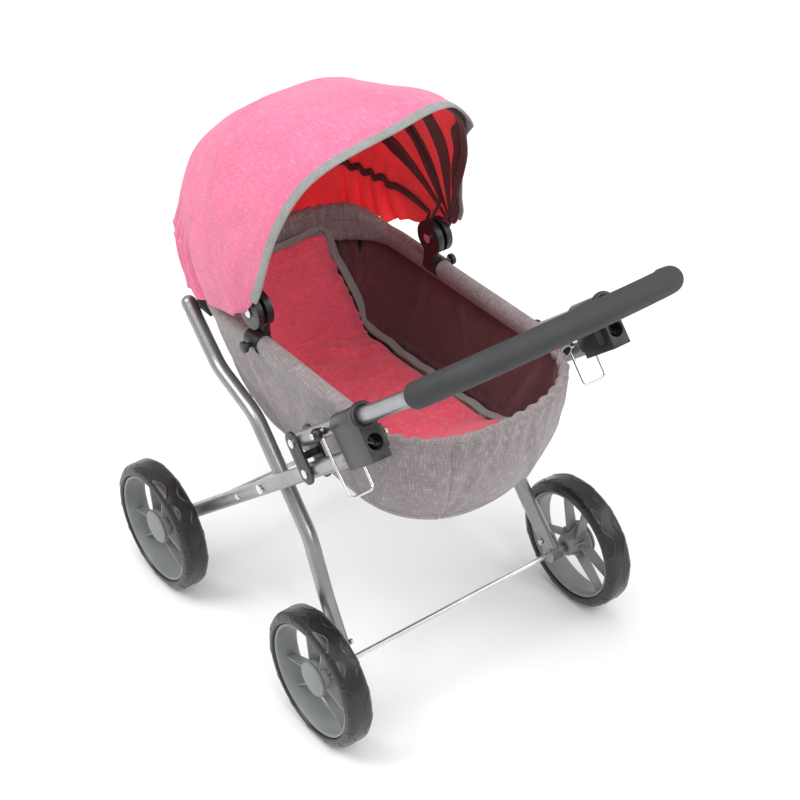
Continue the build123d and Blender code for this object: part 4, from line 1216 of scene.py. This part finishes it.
def swell(obj, voxel, pressure, cap):
    """Fill a pad: voxel remesh, twenty frames of cloth under pressure, moves capped, one subdivision."""
    remesh = obj.modifiers.new("voxels", "REMESH")
    remesh.mode = "VOXEL"
    remesh.voxel_size = voxel * MM
    apply_modifiers(obj)
    before = np.empty(len(obj.data.vertices) * 3)
    obj.data.vertices.foreach_get("co", before)
    filling = obj.modifiers.new("filling", "CLOTH")
    filling.settings.use_pressure = True
    filling.settings.uniform_pressure_force = pressure
    filling.settings.effector_weights.gravity = 0.0
    filling.settings.quality = 6
    scene = bpy.context.scene
    for step in range(1, 21):
        scene.frame_set(step)
    apply_modifiers(obj)
    scene.frame_set(1)
    after = np.empty(len(before))
    obj.data.vertices.foreach_get("co", after)
    moved = (after - before).reshape(-1, 3)
    size = np.linalg.norm(moved, axis=1, keepdims=True)
    moved = moved * np.minimum(1.0, cap * MM / np.maximum(size, 1e-9))
    before = (before.reshape(-1, 3) + moved).ravel()
    obj.data.vertices.foreach_set("co", before)
    finer = obj.modifiers.new("finer", "SUBSURF")
    finer.levels = finer.render_levels = 1
    apply_modifiers(obj)


def press_wrinkles(obj):
    """Soft wrinkles across the bed and at the bend, pressed along each point's normal."""
    mesh = obj.data
    count = len(mesh.vertices)
    co, normal = np.empty(count * 3), np.empty(count * 3)
    mesh.vertices.foreach_get("co", co)
    mesh.vertices.foreach_get("normal", normal)
    co, normal = co.reshape(-1, 3), normal.reshape(-1, 3)
    x, y, z = (co / MM).T
    soft = 2.2 * soft_noise((x + 0.5 * y) / 21.0, (y - 0.7 * z) / 34.0, 21)
    soft = soft + 0.7 * soft_noise((x - y) / 9.0, (y + z) / 15.0, 8, 2)
    bend = hump(y + 130.0, 34.0) * hump(z - 266.0, 30.0)
    creases = 3.4 * np.sin((y + 0.45 * x + 8.0 * np.sin(x / 31.0)) / 8.5) * bend
    rays = 2.0 * np.sin((x * 0.8 - y * 0.35) / 7.0 + np.sin(y / 23.0)) * hump(y + 70.0, 40.0)
    inside = smooth_step((PAD_HALF_W - 6.0 - np.abs(x)) / 16.0)
    shift = (soft + creases + 0.5 * rays) * (0.35 + 0.65 * inside)
    mesh.vertices.foreach_set("co", (co + normal * (shift * MM)[:, None]).ravel())
    mesh.update()


class STROLLER_OT_pad(bpy.types.Operator):
    """The coral pad, filled and wrinkled, bent up at the head, with its grey binding"""
    bl_idname = "stroller.pad"
    bl_label = "Pad"

    def execute(self, context):
        made = build_mesh("pad", [pad_grid(1.0, 9.0)])
        shade(made)
        swell(made, 4.5, 4.0, 7.0)
        press_wrinkles(made)
        fit_out(made, "frame", MATERIALS["coral_cloth"],
                ("mattress", "backrest_pad"))
        rows = 320
        distance = np.linspace(0.6, PAD_LENGTH - 0.4, rows)
        y, z = pad_line(distance)
        half = pad_half_width(distance)
        ripple = 1.2 * np.sin(distance / 13.0) + 0.8 * np.sin(distance / 5.6)
        side = np.stack([half - 0.5, y, z + 1.5 + ripple * smooth_step(distance / 40.0)], 1)
        across_top = np.linspace(1, -1, 60)[1:-1]
        head_y, head_z = y[-1], z[-1]
        top_sag = -5.0 * (1 - across_top ** 2)
        top = np.stack([half[-1] * across_top, np.full(58, head_y), head_z + top_sag], 1)
        path = np.concatenate([side, top, side[::-1] * np.array([-1.0, 1, 1])])
        run = lengths_along(path, 0)
        even = np.linspace(0, run[-1], 700)
        path = np.stack([np.interp(even, run, path[:, i]) for i in range(3)], 1)
        inward = np.stack([-path[:, 0], 0 * even, 0 * even], 1)
        tape("pad_binding", path, unit(inward + 1e-3), 4.6, 2.6, "frame", "binding")
        return {"FINISHED"}


# ---- stage --------------------------------------------------------------------------------
def area_light(name, place, target, width, power, colour=(1, 1, 1)):
    """A soft panel light aimed at a point."""
    lamp = bpy.data.lights.new(name, "AREA")
    lamp.shape = "DISK"
    lamp.size = width
    lamp.energy = power
    lamp.color = colour
    obj = bpy.data.objects.new(name, lamp)
    obj.location = place
    obj.rotation_euler = (Vector(target) - Vector(place)).to_track_quat("-Z", "Y").to_euler()
    bpy.context.scene.collection.objects.link(obj)


class STROLLER_OT_stage(bpy.types.Operator):
    """Pale floor, soft lights and the camera"""
    bl_idname = "stroller.stage"
    bl_label = "Stage"

    def execute(self, context):
        scene = context.scene
        half = 6.0
        u = np.linspace(-half, half, 25) / MM
        floor = np.stack(np.broadcast_arrays(u[:, None], u[None, :], np.float64(-0.05)), -1)
        made = build_mesh("floor", [floor])
        finish, tree, shader = new_material("Pale floor", Specular_IOR_Level=0.1)
        place = node(tree, "ShaderNodeTexCoord").outputs["Object"]
        tone = spread(tree, noise(tree, place, 3.0, 2.0), 0.3, 0.7, 0.90, 0.93)
        tree.links.new(toned(tree, (1, 1, 1, 1), tone), shader.inputs["Base Color"])
        shader.inputs["Roughness"].default_value = 0.9
        made.data.materials.append(finish)
        if made.data.polygons[0].normal.z < 0:
            made.data.flip_normals()
        world = bpy.data.worlds.new("Soft studio")
        world.use_nodes = True
        world.node_tree.nodes["Background"].inputs[0].default_value = (1.0, 1.0, 1.0, 1)
        world.node_tree.nodes["Background"].inputs[1].default_value = 0.74
        scene.world = world
        target = (0.0, 0.0, 0.3)
        area_light("key", (1.6, -0.6, 2.4), target, 1.4, 30.0)
        area_light("front", (0.3, 1.9, 2.3), target, 1.2, 20.0)
        area_light("fill", (-1.8, 1.4, 1.8), target, 1.8, 16.0)
        area_light("top", (0.2, 0.2, 3.0), target, 2.0, 24.0)
        camera = bpy.data.cameras.new("camera")
        camera.sensor_width = 36.0
        camera.lens = 88.3
        camera.clip_end = 50.0
        seat = bpy.data.objects.new("camera", camera)
        back = Vector((0.4646, 0.6650, 0.5848)).normalized()
        level = Vector((-0.8198, 0.5727, 0.0)).normalized()
        up = back.cross(level)
        roll = math.radians(-2.47)
        right = level * math.cos(roll) + up * math.sin(roll)
        up = up * math.cos(roll) - level * math.sin(roll)
        seat.matrix_world = Matrix((
            (right.x, up.x, back.x, 0.9049), (right.y, up.y, back.y, 1.3018),
            (right.z, up.z, back.z, 1.4300), (0, 0, 0, 1)))
        scene.collection.objects.link(seat)
        scene.camera = seat
        scene.view_settings.view_transform = "Standard"
        return {"FINISHED"}


# ---- properties, panel and main -----------------------------------------------------------
def length_property(name, description, default):
    return bpy.props.FloatProperty(name=name, description=description, default=default,
                                   min=0.0, unit="LENGTH", subtype="DISTANCE")


def colour_property(name, description, default):
    return bpy.props.FloatVectorProperty(name=name, description=description, size=4,
                                         default=default, min=0.0, max=1.0, subtype="COLOR")


class StrollerSizes(bpy.types.PropertyGroup):
    wheel_radius: length_property("Wheel Radius", "Radius over the tread", 0.075)
    grip_diameter: length_property("Grip Diameter", "Thickness of the foam sleeve", 0.0245)
    rib_pitch: length_property("Rib Pitch", "Distance between the foam's ribs", 0.0021)
    hood_radius: length_property("Hood Radius", "From the hubs to the top of the hood", 0.208)
    hood_half_width: length_property("Hood Half Width", "Half the hood's greatest width", 0.132)
    tread_waves: bpy.props.IntProperty(name="Tread Waves", description="Waves round a tyre",
                                       default=14, min=3)


class StrollerColours(bpy.types.PropertyGroup):
    hood: colour_property("Hood", "Outer cloth of the hood", (0.70, 0.150, 0.275, 1))
    pad: colour_property("Pad", "Cloth of the mattress and backrest", (0.80, 0.095, 0.150, 1))
    rim: colour_property("Rims", "Moulded wheel rims", (0.205, 0.215, 0.215, 1))
    grip: colour_property("Grip", "Foam on the push bar", (0.028, 0.029, 0.031, 1))
    tubes: colour_property("Tubes", "Coat on the frame tubes", (0.32, 0.325, 0.335, 1))


STEPS = [STROLLER_OT_wheels, STROLLER_OT_grip, STROLLER_OT_fittings, STROLLER_OT_hood,
         STROLLER_OT_basket, STROLLER_OT_pad, STROLLER_OT_stage]


class STROLLER_PT_builder(bpy.types.Panel):
    """The stroller's build steps"""
    bl_idname = "STROLLER_PT_builder"
    bl_label = "Doll Stroller"
    bl_space_type = "VIEW_3D"
    bl_region_type = "UI"
    bl_category = "Doll Stroller"

    def draw(self, context):
        for group in (context.scene.stroller_sizes, context.scene.stroller_colours):
            for name in group.__annotations__:
                self.layout.prop(group, name)
        for step in STEPS:
            self.layout.operator(step.bl_idname)


CLASSES = [StrollerSizes, StrollerColours] + STEPS + [STROLLER_PT_builder]


def register():
    for kind in CLASSES:
        bpy.utils.register_class(kind)
    bpy.types.Scene.stroller_sizes = bpy.props.PointerProperty(type=StrollerSizes)
    bpy.types.Scene.stroller_colours = bpy.props.PointerProperty(type=StrollerColours)


def unregister():
    del bpy.types.Scene.stroller_colours
    del bpy.types.Scene.stroller_sizes
    for kind in reversed(CLASSES):
        bpy.utils.unregister_class(kind)


def main():
    """Register the add-on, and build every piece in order."""
    register()
    make_materials()
    for step in STEPS:
        group, name = step.bl_idname.split(".")
        getattr(getattr(bpy.ops, group), name)()


if __name__ == "__main__":
    main()
